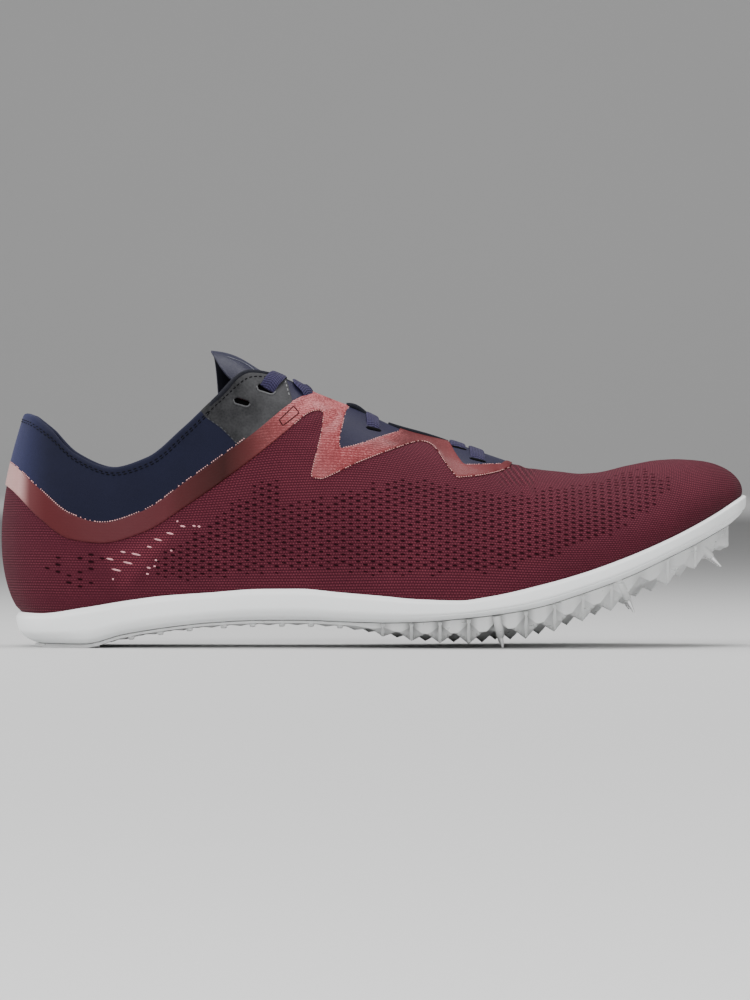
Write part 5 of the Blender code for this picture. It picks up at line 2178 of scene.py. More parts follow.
@dataclass
class Collar(Assembly):
    """Navy collar panel, rolled over the rim into the shoe, with its double stitch line."""

    thickness: float = 0.55
    tuck: float = 1.1
    inside_t: float = 1.36
    front: Corners = ((93.0, 78.4, 0.0), (87.4, 84.4, 2.0), (81.0, 88.6, 0.0))
    rim_end: float = 79.5
    stitch_pitch: float = 2.2
    stitch_size: Triple = (1.6, 0.42, 0.34)
    stitch_lift: float = 0.08
    stitch_rows: tuple[float, ...] = (1.7, 2.7)
    rim_count: int = 40
    stitch_count: int = 260

    def build(self) -> None:
        """Builds the panel and its stitches."""
        last = self.last
        rim_place = float(last.rim_place(self.rim_end))
        halves = []
        for side in Side:
            front = self.on_skin(side, rounded(self.front))
            low = self.band_edge(side, 0.0, abs(front[0, 0]), FILM_UPPER, self.tuck)
            edge = np.array([(rim_place * side.value, 1.0), (rim_place * side.value, 1.0 + last.roll_span)])
            top = np.full((self.rim_count, 2), self.inside_t)
            top[:, 0] = np.linspace(rim_place, 0.0, self.rim_count) * side.value
            halves.append(np.concatenate([low, front, edge, top]))
        outline = np.concatenate([halves[0], halves[1][::-1]])
        shell = Panel(last, self.thickness, edge_radius=0.5, step=1.4).shell(outline)
        make_piece("collar_navy_panel", shell, (COLLAR, COLLAR), "panel", ["collar_panel"])
        self._stitches(rim_place)

    def _stitches(self, rim_place: float) -> None:
        """Two rows of dark stitches just below the rim, outside.

        Args:
            rim_place: Place round the loop where the panel's rim ends.
        """
        places = np.linspace(-rim_place, rim_place, self.stitch_count)
        girth = self.last.girth(places)
        rows = [np.stack([places, 1.0 - below / girth], axis=-1) for below in self.stitch_rows]
        spots = [self.spots_along(row, self.thickness + self.stitch_lift, self.stitch_pitch) for row in rows]
        self.recipes.scattered("collar_stitches", bead_shape(*self.stitch_size), spots, THREAD_DARK, "panel")


class EdgeRoll(NamedTuple):
    """A soft roll of lining at the throat's edge: its stations, radius and rise."""

    start: float
    end: float
    radius: float
    rise: float


SIDE_NAMES = {Side.LATERAL: "lateral", Side.MEDIAL: "medial"}


@dataclass
class Eyestays(Assembly):
    """Dark patches at the top of the throat with two lace slots each, piped along the rim."""

    thickness: float = 0.6
    rear: Corners = ((90.4, 76.9, 0.0), (84.6, 82.9, 2.0), (78.6, 87.0, 0.0))
    front: Corners = ((109.7, 101.0, 0.0), (110.8, 97.6, 1.0), (112.2, 92.6, 0.0))
    front_stitched: Corners = ((109.7, 101.0, 0.0), (110.8, 97.6, 1.0), (111.6, 95.0, 0.0))
    rim_start: float = 77.2
    rim_end: float = 108.2
    rim_t: float = 1.06
    tuck: float = 1.1
    piping: Pair = (75.5, 109.2)
    piping_t: float = 1.035
    piping_radius: float = 1.25
    piping_lift: float = 0.45
    sink: float = 1.5
    sink_t: float = 0.06
    sink_rate: float = 2.2
    bound: Pair = (109.0, 170.0)
    bound_t: float = 1.05
    bound_radius: float = 0.95
    bound_lift: float = 0.8
    roll_t: float = 1.03
    roll_lift: float = 0.3
    roll_ease: float = 0.25
    rolls: tuple[EdgeRoll, ...] = (EdgeRoll(132.6, 139.6, 1.1, 1.1), EdgeRoll(148.4, 171.0, 0.9, 0.9))
    stitched: Pair = (78.5, 107.0)
    stitch_pitch: float = 1.9
    stitch_below: float = 2.1
    stitch_lift: float = 0.1
    stitch_size: Triple = (1.4, 0.45, 0.4)
    front_inset: float = 0.9
    rear_inset: float = 1.0
    lip_grow: float = 0.5
    lip_radius: float = 0.34
    lip_slope: float = 0.28
    lip_margin: float = 0.2
    floor_grow: float = 2.4
    floor_depth: float = 1.5

    def build(self) -> None:
        """Builds both patches, their piping and their stitches."""
        for side, name in SIDE_NAMES.items():
            rear, front = (self.on_skin(side, rounded(line)) for line in (self.rear, self.front))
            rim = self.on_rim(side, self.rim_start, self.rim_end, self.rim_t)
            low = self.band_edge(side, abs(front[-1, 0]), abs(rear[0, 0]), FILM_UPPER, self.tuck, 30)
            holes = [self.on_skin(side, slot.outline()) for slot in SLOTS]
            panel = Panel(self.last, self.thickness, edge_radius=0.5, step=1.1)
            shell = panel.shell(np.concatenate([rear, rim, front, low]), holes)
            make_piece(f"eyestay_patch_{name}", shell, (PATCH, PATCH), "patch", [f"eyestay_{name}"])
        self._piping()
        self._stitches()
        self._slot_welts()

    def _piping(self) -> None:
        """Round piping along the patch's rim, a thin bound edge along the throat, and its soft rolls."""
        lines, edges = [], []
        for side in Side:
            run = self.on_rim(side, *self.piping, self.piping_t)
            sunk = np.clip(1.0 - np.linspace(0.0, self.sink_rate, len(run)), 0.0, 1.0)
            run[:, 1] -= self.sink_t * sunk
            lines.append(self.raised(run, self.piping_lift - self.sink * sunk))
            edges.append(self.raised(self.on_rim(side, *self.bound, self.bound_t), self.bound_lift))
        self.recipes.swept("eyestay_piping", lines, self.piping_radius, PIPING, "patch", 10)
        self.recipes.swept("throat_bound_edge", edges, self.bound_radius, PIPING, "patch")
        for number, row in enumerate(self.rolls, 1):
            rims = [self.on_rim(side, row.start, row.end, self.roll_t) for side in Side]
            lines = [self.raised(rim, self.roll_lift) for rim in rims]
            for line in lines:
                line[:, 2] += row.rise * np.sin(np.linspace(self.roll_ease, math.pi, len(line)))
            self.recipes.swept(f"throat_edge_roll_{number}", lines, row.radius, LINING, "panel")

    def _stitches(self) -> None:
        """Dark stitches under the piping, pale ones down the front edge and dull ones at the rear."""
        rims, fronts, rears = [], [], []
        for side in Side:
            rim = self.on_rim(side, *self.stitched, 1.0)
            rim[:, 1] = 1.0 - self.stitch_below / self.last.girth(rim[:, 0])
            rims.append(rim)
            front = [(x - self.front_inset, z) for x, z in rounded(self.front_stitched)]
            fronts.append(self.on_skin(side, front))
            rears.append(self.on_skin(side, [(x + self.rear_inset, z) for x, z in rounded(self.rear)]))
        rows = (("piping_stitches", rims, THREAD_DARK), ("patch_front_stitches", fronts, THREAD_PALE),
                ("patch_rear_stitches", rears, THREAD_DULL))
        for name, lines, thread in rows:
            spots = [self.spots_along(line, self.thickness + self.stitch_lift, self.stitch_pitch)
                     for line in lines]
            self.recipes.scattered(name, bead_shape(*self.stitch_size), spots, thread, "patch")

    def _slot_welts(self) -> None:
        """Dark floor of painted shade behind each lace slot, and a lip along its lower edge coloured pale as
        a painted highlight.
        """
        # Lips along the slots' lower edges, coloured pale as a painted highlight.
        lines = []
        for side in Side:
            for slot in SLOTS:
                ring = np.array(slot.outline(self.lip_grow))
                low = ring[np.argsort(ring[:, 0])]
                slope = self.lip_slope * (slot.station - low[:, 0]) * np.sign(-slot.angle)
                low = low[low[:, 1] < slot.height + slope + self.lip_margin]
                lines.append(self.raised(self.on_skin(side, low.tolist()), self.thickness))
        self.recipes.swept("slot_lips", lines, self.lip_radius, PATCH_EDGE_HIGHLIGHT, "patch")
        # Dark floors behind the slots, painted shade.
        middles = [(slot.station, slot.height) for slot in SLOTS]
        line = np.concatenate([self.on_skin(side, middles) for side in Side])
        facing, along = self.last.frame(line[:, 0], line[:, 1])
        along[:, 2] = np.tile([math.tan(math.radians(slot.angle)) for slot in SLOTS], 2)
        sizes = [(slot.length + self.floor_grow, slot.width + self.floor_grow, 1.0) for slot in SLOTS]
        spots = [Spots(self.raised(line, -self.floor_depth), facing, along, np.tile(sizes, (2, 1)))]
        self.recipes.scattered("slot_floors", bead_shape(1.0, 1.0, 0.6, 12, 8), spots, SLIT_SHADE, "patch")


@dataclass
class Windows(Assembly):
    """Navy lining panel that shows between the film's arms along the throat."""

    thickness: float = 0.22
    rim_start: float = 108.6
    rim_end: float = 194.2
    rim_t: float = 1.06
    lower: Corners = (
        (192.6, 68.6, 0.0), (176.0, 66.8, 1.0), (172.0, 75.0, 2.0), (163.0, 79.6, 2.0), (152.0, 79.0, 2.0),
        (130.0, 72.0, 1.0), (126.0, 76.0, 2.0), (124.6, 92.0, 1.0), (117.0, 93.0, 1.0), (109.6, 91.0, 0.0))

    def build(self) -> None:
        """Builds one panel on each side."""
        for side, name in SIDE_NAMES.items():
            rim = self.on_rim(side, self.rim_start, self.rim_end, self.rim_t)
            outline = np.concatenate([rim, self.on_skin(side, rounded(self.lower))])
            shell = Panel(self.last, self.thickness, edge_radius=0.3, step=1.4).shell(outline)
            make_piece(f"throat_window_{name}", shell, (WINDOW, WINDOW), "panel")


class TipRow(NamedTuple):
    """A row across the tongue's tip: its middle, half width, and how each edge drops and slides forward."""

    station: float
    height: float
    half_width: float
    lateral_drop: float
    lateral_slide: float
    medial_drop: float
    medial_slide: float


@dataclass
class Tongue(Assembly):
    """Thin padded tongue under the throat, its tip standing free above the collar."""

    gap: float = 0.6
    thickness: float = 2.4
    first_section: float = 8.5
    last_section: float = 15.5
    lowest_share: float = 5.0 / 7.0
    under_rows: int = 70
    wall_steps: int = 7
    bridge_steps: int = 12
    smoothings: int = 10
    across: int = 33
    tip_bend: float = 2.2
    slim_rows: float = 5.0
    edge_share: float = 0.12
    pattern_step: float = 1.3
    pattern_half: float = 15.0
    fold_place: float = 0.30
    fold_rows: tuple[int, int] = (5, 22)
    fold_radius: float = 0.3
    fold_lift: float = 0.05
    crown: Zone = ((8.6, 2.6), (10.0, 2.4), (13.0, 1.6), (16.0, 0.0), (17.0, 0.0))
    tip: tuple[TipRow, ...] = (
        TipRow(80.7, 112.9, 12.0, 7.0, 4.4, 18.0, 2.4), TipRow(86.5, 112.2, 15.0, 11.5, 3.2, 19.0, 0.8),
        TipRow(92.5, 109.8, 15.0, 8.5, 1.5, 15.0, 0.0), TipRow(97.8, 106.4, 14.5, 5.0, 0.5, 8.0, 0.0))

    def _under_row(self, section: float) -> Array:
        """Points across the tongue where it lies under the throat.

        Args:
            section: Place round the loop, on both sides.

        Returns:
            Points from edge to edge.
        """
        last = self.last
        shares = np.linspace(self.lowest_share, 1.0, self.wall_steps)
        edges = []
        for side in Side:
            around = np.full(len(shares), section) * side.value
            normal, _ = last.directions(around, shares)
            depth = last.thickness(around, shares) + self.gap
            edges.append(last.wall(around, shares) - normal * depth[:, None])
        share = np.linspace(0.0, 1.0, self.bridge_steps)[1:-1, None]
        rise = float(Curve(*zip(*self.crown))(section))
        middle = edges[0][-1] + (edges[1][-1] - edges[0][-1]) * share
        middle[:, 2] += rise * np.sin(math.pi * share[:, 0])
        return np.concatenate([edges[0], middle, edges[1][::-1]])

    def _tip_rows(self, count: int = 16) -> list[Array]:
        """Points across the free tip, from its end towards the throat.

        Args:
            count: Number of rows.

        Returns:
            The points of each row.
        """
        places = np.arange(len(self.tip), dtype=float)
        columns = [Curve(places, values) for values in zip(*self.tip)]
        spread = np.linspace(-1.0, 1.0, self.across)
        rows = []
        for place in np.linspace(0.0, places[-1], count):
            row = TipRow(*(float(column(place)) for column in columns))
            bent = np.abs(spread) ** self.tip_bend
            drop = np.where(spread < 0.0, row.lateral_drop, row.medial_drop) * bent
            slide = np.where(spread < 0.0, row.lateral_slide * bent, row.medial_slide * np.abs(spread))
            rows.append(np.stack([row.station + slide, row.half_width * spread, row.height - drop], axis=-1))
        return rows

    def build(self) -> None:
        """Builds the tongue and a pale tube along its fold, a painted highlight."""
        rows = self._tip_rows()
        for section in np.linspace(self.first_section, self.last_section, self.under_rows):
            line = self._under_row(section)
            rows.append(resample(line, lengths_along(line)[-1] / (self.across - 1), False))
        grid = np.array(rows)
        for _ in range(self.smoothings):
            grid[1:-1] = 0.5 * grid[1:-1] + 0.25 * (grid[2:] + grid[:-2])
        lengthwise = np.gradient(grid, axis=0)
        crosswise = np.gradient(grid, axis=1)
        normal = unit(np.cross(lengthwise, crosswise))
        normal *= np.sign(normal[..., 2:3] + 1e-9)
        spread = np.linspace(-1.0, 1.0, self.across)
        end = np.minimum(np.arange(len(rows)) / self.slim_rows, 1.0)
        slim_sides = np.sqrt(1.0 - np.clip(np.abs(spread), 0.0, 0.98) ** 6)
        slim_end = np.sqrt(1.0 - (1.0 - end) ** 2 * 0.96)
        padded = (1.0 - self.edge_share) * slim_sides[None, :] * slim_end[:, None]
        body = self.thickness * (self.edge_share + padded)
        back = grid - normal * body[..., None]
        faces = grid_faces(len(rows), self.across)
        along = np.arange(len(rows))[:, None] * self.pattern_step + np.zeros(self.across)[None, :]
        over = np.broadcast_to(spread * self.pattern_half, along.shape)
        pattern = np.stack([along, over], axis=-1).reshape(-1, 2)
        shell = thicken(grid.reshape(-1, 3), back.reshape(-1, 3), faces, pattern)
        make_piece("tongue_padded", shell, (TONGUE, LINING), "panel", ["tongue"])
        # Painted highlight: a thin pale tube along the fold where the top turns into the side.
        fold = (slice(*self.fold_rows), int(self.fold_place * self.across))
        line = grid[fold] + normal[fold] * self.fold_lift
        self.recipes.swept("tongue_fold", [line], self.fold_radius, TONGUE_FOLD_HIGHLIGHT, "panel", 6)


@dataclass
class Insole(Assembly):
    """Sock liner on the foam inside the wall."""

    thickness: float = 3.0
    inset: float = 2.6
    edge_drop: float = 0.9
    cup_rise: float = 1.1
    cup_end: float = 110.0
    rings: int = 14
    columns: int = 160

    def build(self) -> None:
        """Builds the liner as rings from its edge to its middle line."""
        last = self.last
        loop = np.linspace(0.0, LOOP, self.columns, endpoint=False)
        station, side = last.foot(loop)
        out_station, out_side = last.outward(loop)
        station, side = station - out_station * self.inset, side - out_side * self.inset
        middle = 0.5 * (side + side[(-np.arange(self.columns)) % self.columns])
        layers = []
        for share in np.linspace(1.0, 0.0, self.rings):
            ring_side = middle + (side - middle) * share
            height = last.sole["top"](station) + last.gap + self.thickness - self.edge_drop * share ** 8
            height = height + self.cup_rise * share ** 4 * np.clip(1.0 - station / self.cup_end, 0.0, 1.0)
            layers.append(np.stack([station, ring_side, height], axis=-1))
        bottom = np.stack([station, side, last.sole["top"](station) + last.gap], axis=-1)
        shell = Shell(np.concatenate([bottom] + layers), ring_faces(len(layers) + 1, self.columns))
        make_piece("insole_liner", shell, (LINING,), "liner", ["insole"])


class LaceBar(NamedTuple):
    """One lace crossing: where it dives in, seen from the side, where it goes over the rim, and its width."""

    node: str
    dive_station: float
    dive_height: float
    rim_station: float
    width: float
    lift: float


@dataclass
class Laces(Assembly):
    """Flat woven lace: each crossing dives into a slot at both ends."""

    bars: tuple[LaceBar, ...] = (
        LaceBar("lace_bar_1", 102.2, 98.0, 106.0, 6.0, 1.5),
        LaceBar("lace_bar_2", 118.6, 95.0, 113.6, 5.6, 0.9),
        LaceBar("lace_bar_3", 142.7, 82.7, 141.8, 5.4, 0.25),
        LaceBar("lace_bar_4", 174.8, 75.6, 174.4, 6.2, 0.25),
        LaceBar("lace_bar_5", 182.2, 70.9, 181.6, 6.0, 0.25))
    thickness: float = 0.8
    crown: float = 0.3
    columns: int = 13
    wall_steps: int = 14
    bridge_steps: int = 14
    dive: float = 1.7
    dive_length: float = 2.4
    smoothings: int = 4
    edge_thinning: float = 0.97
    slit_margin: float = 1.0
    slit_width: float = 2.1
    slit_lift: float = 0.25

    def _centre(self, bar: LaceBar) -> tuple[Array, Array]:
        """Middle line of a crossing and the directions out of its face.

        Args:
            bar: The crossing.

        Returns:
            The line's points and a direction for each.
        """
        last = self.last
        points, facing = {}, {}
        for side in Side:
            start = self.on_skin(side, [(bar.dive_station, bar.dive_height)])[0]
            end = np.array([float(last.rim_place(bar.rim_station)) * side.value, 1.0])
            share = np.linspace(0.0, 1.0, self.wall_steps)
            places = start + (end - start) * share[:, None]
            normal, _ = last.directions(places[:, 0], places[:, 1] * last.rim_share(places[:, 0]))
            path = last.skin(places[:, 0], places[:, 1])
            ease = np.clip(lengths_along(path) / self.dive_length, 0.0, 1.0)
            reach = bar.lift - self.dive * (1.0 - ease * ease * (3.0 - 2.0 * ease))
            points[side], facing[side] = path + normal * reach[:, None], normal
        share = np.linspace(0.0, 1.0, self.bridge_steps + 2)[1:-1, None]
        lateral, medial = points[Side.LATERAL], points[Side.MEDIAL]
        arch = self.crown * np.sin(math.pi * share) * np.array([0.0, 0.0, 1.0])
        middle = lateral[-1] * (1.0 - share) + medial[-1] * share + arch
        upward = facing[Side.LATERAL][-1] * (1.0 - share) + facing[Side.MEDIAL][-1] * share
        line = np.concatenate([lateral, middle, medial[::-1]])
        out = np.concatenate([facing[Side.LATERAL], unit(upward), facing[Side.MEDIAL][::-1]])
        for _ in range(self.smoothings):
            line[1:-1] = 0.5 * line[1:-1] + 0.25 * (line[2:] + line[:-2])
            out[1:-1] = unit(0.5 * out[1:-1] + 0.25 * (out[2:] + out[:-2]))
        return line, out

    def build(self) -> None:
        """Builds every crossing, and dark beads of painted shade where the crossings dive into their slits.
        """
        spread = np.linspace(-1.0, 1.0, self.columns)
        lens = np.sqrt(1.0 - np.abs(spread) ** 5 * self.edge_thinning)
        ends = []
        for bar in self.bars:
            line, out = self._centre(bar)
            across = unit(np.cross(out, np.gradient(line, axis=0)))
            flat = line[:, None] + across[:, None] * (0.5 * bar.width * spread)[None, :, None]
            raised = self.thickness * (0.5 + 0.5 * lens)[None, :, None]
            sunk = self.thickness * (0.5 - 0.5 * lens)[None, :, None]
            upper, lower = flat + out[:, None] * raised, flat + out[:, None] * sunk
            pattern = plane_grid(lengths_along(line), spread * 0.5 * bar.width)
            faces = grid_faces(len(line), self.columns)
            shell = thicken(upper.reshape(-1, 3), lower.reshape(-1, 3), faces, pattern)
            make_piece(bar.node + "_ribbon", shell, (LACE, LACE), "lace", [bar.node])
            tips = [0, -1]
            size = np.tile([bar.width + self.slit_margin, self.slit_width, 1.0], (2, 1))
            over = out[tips] * (self.dive - bar.lift + self.slit_lift)
            ends.append(Spots(line[tips] + over, out[tips], across[tips], size))
        # Dark beads at the lace ends, painted shade in the slits.
        self.recipes.scattered("lace_slits", bead_shape(1.0, 1.0, 0.6, 10, 8), ends[1:], SLIT_SHADE, "panel")


# The sole
@dataclass
class Midsole(Assembly):
    """Foam wedge with a rounded side and a moulded parting line along the forefoot."""

    rings: Zone = ((0.0, -3.6), (0.14, -0.6), (0.42, 1.6), (0.8, 1.8), (1.0, 0.6))
    columns: int = 520
    rows: int = 34
    line_share: float = 0.27
    line_depth: float = 0.5
    line_width: float = 0.022
    line_start: float = 150.0
    line_fade: float = 30.0
    top_shares: Pair = (0.97, 0.985)
    top_outsets: Pair = (-2.0, -8.0)
    bottom_outset: float = -9.0

    def build(self) -> None:
        """Builds the wedge as rings up its side, closed below and above."""
        last = self.last
        half = self.columns // 2
        lateral = last.unarc(np.linspace(0.0, float(last.arc(TOE)), half + 1))
        medial = last.unarc(np.linspace(float(last.arc(-TOE)), 0.0, half + 1))
        loop = np.concatenate([lateral, medial[1:-1]])
        count = len(loop)
        side = Curve(*zip(*self.rings))
        near_line = self.line_share + self.line_width * np.linspace(-2.0, 2.0, 7)
        shares = np.unique(np.concatenate([np.linspace(0.0, 1.0, self.rows), near_line, self.top_shares]))
        station = last.foot(loop)[0]
        fade = np.clip((station - self.line_start) / self.line_fade, 0.0, 1.0)
        layers = []
        for share in shares:
            groove = self.line_depth * math.exp(-((share - self.line_share) / self.line_width) ** 2)
            outset = float(side(share)) - groove * fade
            layers.append(last.foam_ring(loop, np.full(count, share), outset))
        for reach in self.top_outsets:
            layers.append(last.foam_ring(loop, np.ones(count), reach))
        layers.insert(0, last.foam_ring(loop, np.zeros(count), self.bottom_outset))
        points = np.concatenate(layers)
        faces = ring_faces(len(layers), count)
        for first in (0, (len(layers) - 1) * count):
            end = first + count
            faces += [(first, first + 1, end - 1)]
            faces += [(first + i, first + i + 1, end - i - 1, end - i) for i in range(1, half - 1)]
            faces += [(first + half - 1, first + half, first + half + 1)]
        make_piece("midsole_foam", Shell(points, faces), (FOAM,), "foam", ["midsole"])


class Pin(NamedTuple):
    """One pin: station and side of its post's root, and station, side and height of its tip."""

    node: str
    root_station: float
    root_side: float
    tip_station: float
    tip_side: float
    tip_height: float


def turned(profile: Sequence[Pair], origin: Array, axis: Array, sides: int = 24) -> Shell:
    """Body turned about an axis.

    Args:
        profile: Radius and distance along the axis of each ring.
        origin: Where the distances start.
        axis: Direction of the axis.
        sides: Points in a ring.

    Returns:
        The closed body.
    """
    along = unit(axis)
    level = unit(np.cross(along, np.array([0.0, 1.0, 0.0])))
    other = np.cross(along, level)
    angle = np.arange(sides) * TURN / sides
    circle = np.cos(angle)[:, None] * level + np.sin(angle)[:, None] * other
    rings = [origin + along * distance + circle * radius for radius, distance in profile]
    faces = ring_faces(len(profile), sides)
    top = (len(profile) - 1) * sides
    faces += [tuple(range(sides)), tuple(range(top + sides - 1, top - 1, -1))]
    return Shell(np.concatenate(rings), faces)


def joined(shells: Sequence[Shell]) -> Shell:
    """Several closed bodies as one shell.

    Args:
        shells: The bodies.

    Returns:
        One shell, its pattern zero where a body has none.
    """
    points, faces, places, first = [], [], [], 0
    for shell in shells:
        points.append(shell.points)
        places.append(np.zeros((len(shell.points), 2)) if shell.pattern is None else shell.pattern)
        faces += [tuple(index + first for index in face) for face in shell.faces]
        first += len(shell.points)
    return Shell(np.concatenate(points), faces, np.concatenate(places))


@dataclass
class Plate(Assembly):
    """Clear plate under the foam: staggered faceted teeth, ribs up its side, posts and steel pins."""

    pitch: float = 11.0
    teeth_across: int = 4
    fine: int = 4
    pad_start: float = 13.5
    pad_end: float = 33.0
    pad_rows: int = 5
    rib_radius: float = 0.85
    ridge_radius: float = 1.6
    tip: float = 281.0
    front: float = 278.4
    inset: float = 4.2
    edge_place: float = 0.07
    clearance: float = 7.0
    notch: float = 0.72
    notch_reach: float = 0.9
    notch_start: float = 132.0
    notch_fade: float = 25.0
    notch_steepness: float = 1.3
    edge_samples: int = 300
    post: Zone = ((2.6, -1.4), (2.5, 0.1))
    post_end: float = 1.6
    cone: Zone = (
        (0.12, 0.0), (0.3, 0.12), (0.4, 0.5), (1.22, 5.3), (1.42, 5.42), (1.5, 5.52), (1.5, 6.02),
        (1.42, 6.1))
    pins: tuple[Pin, ...] = (
        Pin("pin_lateral_rear", 190.1, -31.0, 191.6, -31.0, 0.09),
        Pin("pin_lateral_middle", 237.6, -22.0, 241.4, -22.0, 13.4),
        Pin("pin_lateral_front", 269.2, -3.0, 275.3, -3.0, 30.4),
        Pin("pin_medial_rear", 190.1, 33.0, 191.6, 33.0, 0.09),
        Pin("pin_medial_middle", 237.6, 35.0, 241.4, 35.0, 13.4),
        Pin("pin_medial_front", 269.2, 22.0, 275.3, 22.0, 30.4))
    nubs: tuple[float, ...] = (38.0, 51.0, 62.0, 73.0, 86.0, 97.0, 108.0, 119.0, 130.0)
    nub_size: Triple = (2.8, 2.8, 2.6)
    nub_inset: float = 2.2
    nub_rise: float = 0.2
    nub_lowest: float = 1.5
    rib_least: float = 3.0
    sharp_angle: float = 12.0

    def roof(self, station: Union[float, Array]) -> Array:
        """Height of the plate's upper face."""
        return self.last.sole["bottom"](station) - self.last.gap

    def web(self, station: Union[float, Array]) -> Array:
        """Thickness of the plate between its teeth."""
        return self.last.sole["plate"](station)

    def axis(self, pin: Pin) -> tuple[Array, Array]:
        """Root point and root-to-tip vector of a pin.

        Args:
            pin: The pin.

        Returns:
            The point and the vector.
        """
        height = float(self.roof(pin.root_station) - self.web(pin.root_station))
        root = np.array([pin.root_station, pin.root_side, height])
        return root, np.array([pin.tip_station, pin.tip_side, pin.tip_height]) - root

    def edges(self, stations: Array) -> tuple[Array, Array]:
        """Lateral and medial edges of the plate.

        Args:
            stations: Stations along the plate.

        Returns:
            The sides of both edges there.
        """
        places = np.linspace(0.0, TOE, self.edge_samples)
        low = np.zeros(len(places))
        rings = [self.last.foam_ring(places * side.value, low, -self.inset) for side in Side]
        return tuple(np.interp(stations, ring[:, 0], ring[:, 1]) for ring in rings)

    def across(self, place: Array) -> Array:
        """Share of the plate's width at a place across it, the outer teeth standing near its edges.

        Args:
            place: Places counted in half teeth from the lateral edge.

        Returns:
            Shares from 0 to 1.
        """
        last_place = 2.0 * self.teeth_across
        at = [0.0, 1.0, last_place - 1.0, last_place]
        return np.interp(place, at, [0.0, self.edge_place, 1.0 - self.edge_place, 1.0])

    def teeth(self) -> Array:
        """Row, place, station, side of every tooth.

        Returns:
            One row of four numbers for each tooth.
        """
        count = 2 * round((self.tip - self.pad_end) / self.pitch)
        stations = np.linspace(self.pad_end, self.tip, count + 1)
        found = []
        for row in range(1, count):
            lateral, medial = (float(edge) for edge in self.edges(stations[row]))
            for place in range(1, 2 * self.teeth_across, 2):
                side = lateral + (medial - lateral) * float(self.across(np.array(place)))
                spot = np.array([stations[row], side])
                clear = all(np.hypot(*(spot - (root + 0.5 * axis)[:2])) > self.clearance
                            for root, axis in map(self.axis, self.pins))
                if (row + place // 2) % 2 == 1 and clear:
                    found.append((row, place, stations[row], side))
        return np.array(found)

    def _rows(self) -> tuple[Array, Array]:
        """Row numbers from the heel pad to the plate's front, and their stations.

        Returns:
            The numbers and the stations.
        """
        count = 2 * round((self.tip - self.pad_end) / self.pitch)
        step = (self.tip - self.pad_end) / count
        pad_step = (self.pad_end - self.pad_start) / self.pad_rows
        front = (self.front - self.pad_end) / step
        rows = np.concatenate([np.linspace(-self.pad_rows, 0.0, self.pad_rows * 2 + 1)[:-1],
                               np.linspace(0.0, count, count * self.fine + 1)])
        rows = np.append(rows[rows < front - 0.1], front)
        return rows, self.pad_end + rows * np.where(rows < 0.0, pad_step, step)

    def _body(self, teeth: Array) -> Shell:
        """The plate with its teeth and the notches between the outer ones.

        Args:
            teeth: Row, place, station and side of every tooth.

        Returns:
            The closed plate; its pattern tells how deep in a tooth and in a notch a point is, which the
            plastic turns into painted shade.
        """
        last = self.last
        rows, stations = self._rows()
        places = np.linspace(0.0, 2.0 * self.teeth_across, 2 * self.teeth_across * self.fine + 1)
        lateral, medial = self.edges(stations)
        side = lateral[:, None] + (medial - lateral)[:, None] * self.across(places)[None, :]
        station = np.broadcast_to(stations[:, None], side.shape)
        depth = np.zeros(side.shape)
        for row, place, *_ in teeth:
            reach = np.maximum(np.abs(rows - row)[:, None], np.abs(places - place)[None, :])
            depth = np.maximum(depth, 1.0 - reach)
        roof = self.roof(station)
        between = np.abs((rows + 1.0) % 2.0 - 1.0)
        between = np.stack([between, 1.0 - between])[[0, self.teeth_across % 2 == 1]]
        gaps = np.clip(1.0 - self.notch_steepness * (1.0 - between), 0.0, 1.0)
        near = np.clip(1.0 - np.stack([places, places[-1] - places]) / self.notch_reach, 0.0, 1.0)
        cut_back = sum(gap[:, None] * edge[None, :] for gap, edge in zip(gaps, near))
        cut_back *= self.notch * np.clip((station - self.notch_start) / self.notch_fade, 0.0, 1.0)
        under = roof - self.web(station) * (1.0 - cut_back) - depth * last.sole["tooth"](station)
        top = np.stack([station, side, roof], axis=-1).reshape(-1, 3)
        bottom = np.stack([station, side, under], axis=-1).reshape(-1, 3)
        shade = np.stack([depth, cut_back / self.notch], axis=-1).reshape(-1, 2)
        return thicken(bottom, top, grid_faces(len(stations), len(places)), shade)

    def build(self) -> None:
        """Builds the pins, the plate with its posts, its ribs and its nubs."""
        teeth = self.teeth()
        bodies = [self._body(teeth)]
        for pin in self.pins:
            root, axis = self.axis(pin)
            length = float(np.linalg.norm(axis)) - self.cone[-1][1] - self.last.gap
            bodies.append(turned((*self.post, (self.post_end, length)), root, axis))
            make_piece(pin.node + "_cone", turned(self.cone, root + axis, -axis), (STEEL,), "pin", [pin.node])
        make_piece("plate_moulded", joined(bodies), (PLATE,), "plate", ["outsole_plate"],
                   sharp_angle=self.sharp_angle)
        self._ribs(teeth)
        self._nubs()

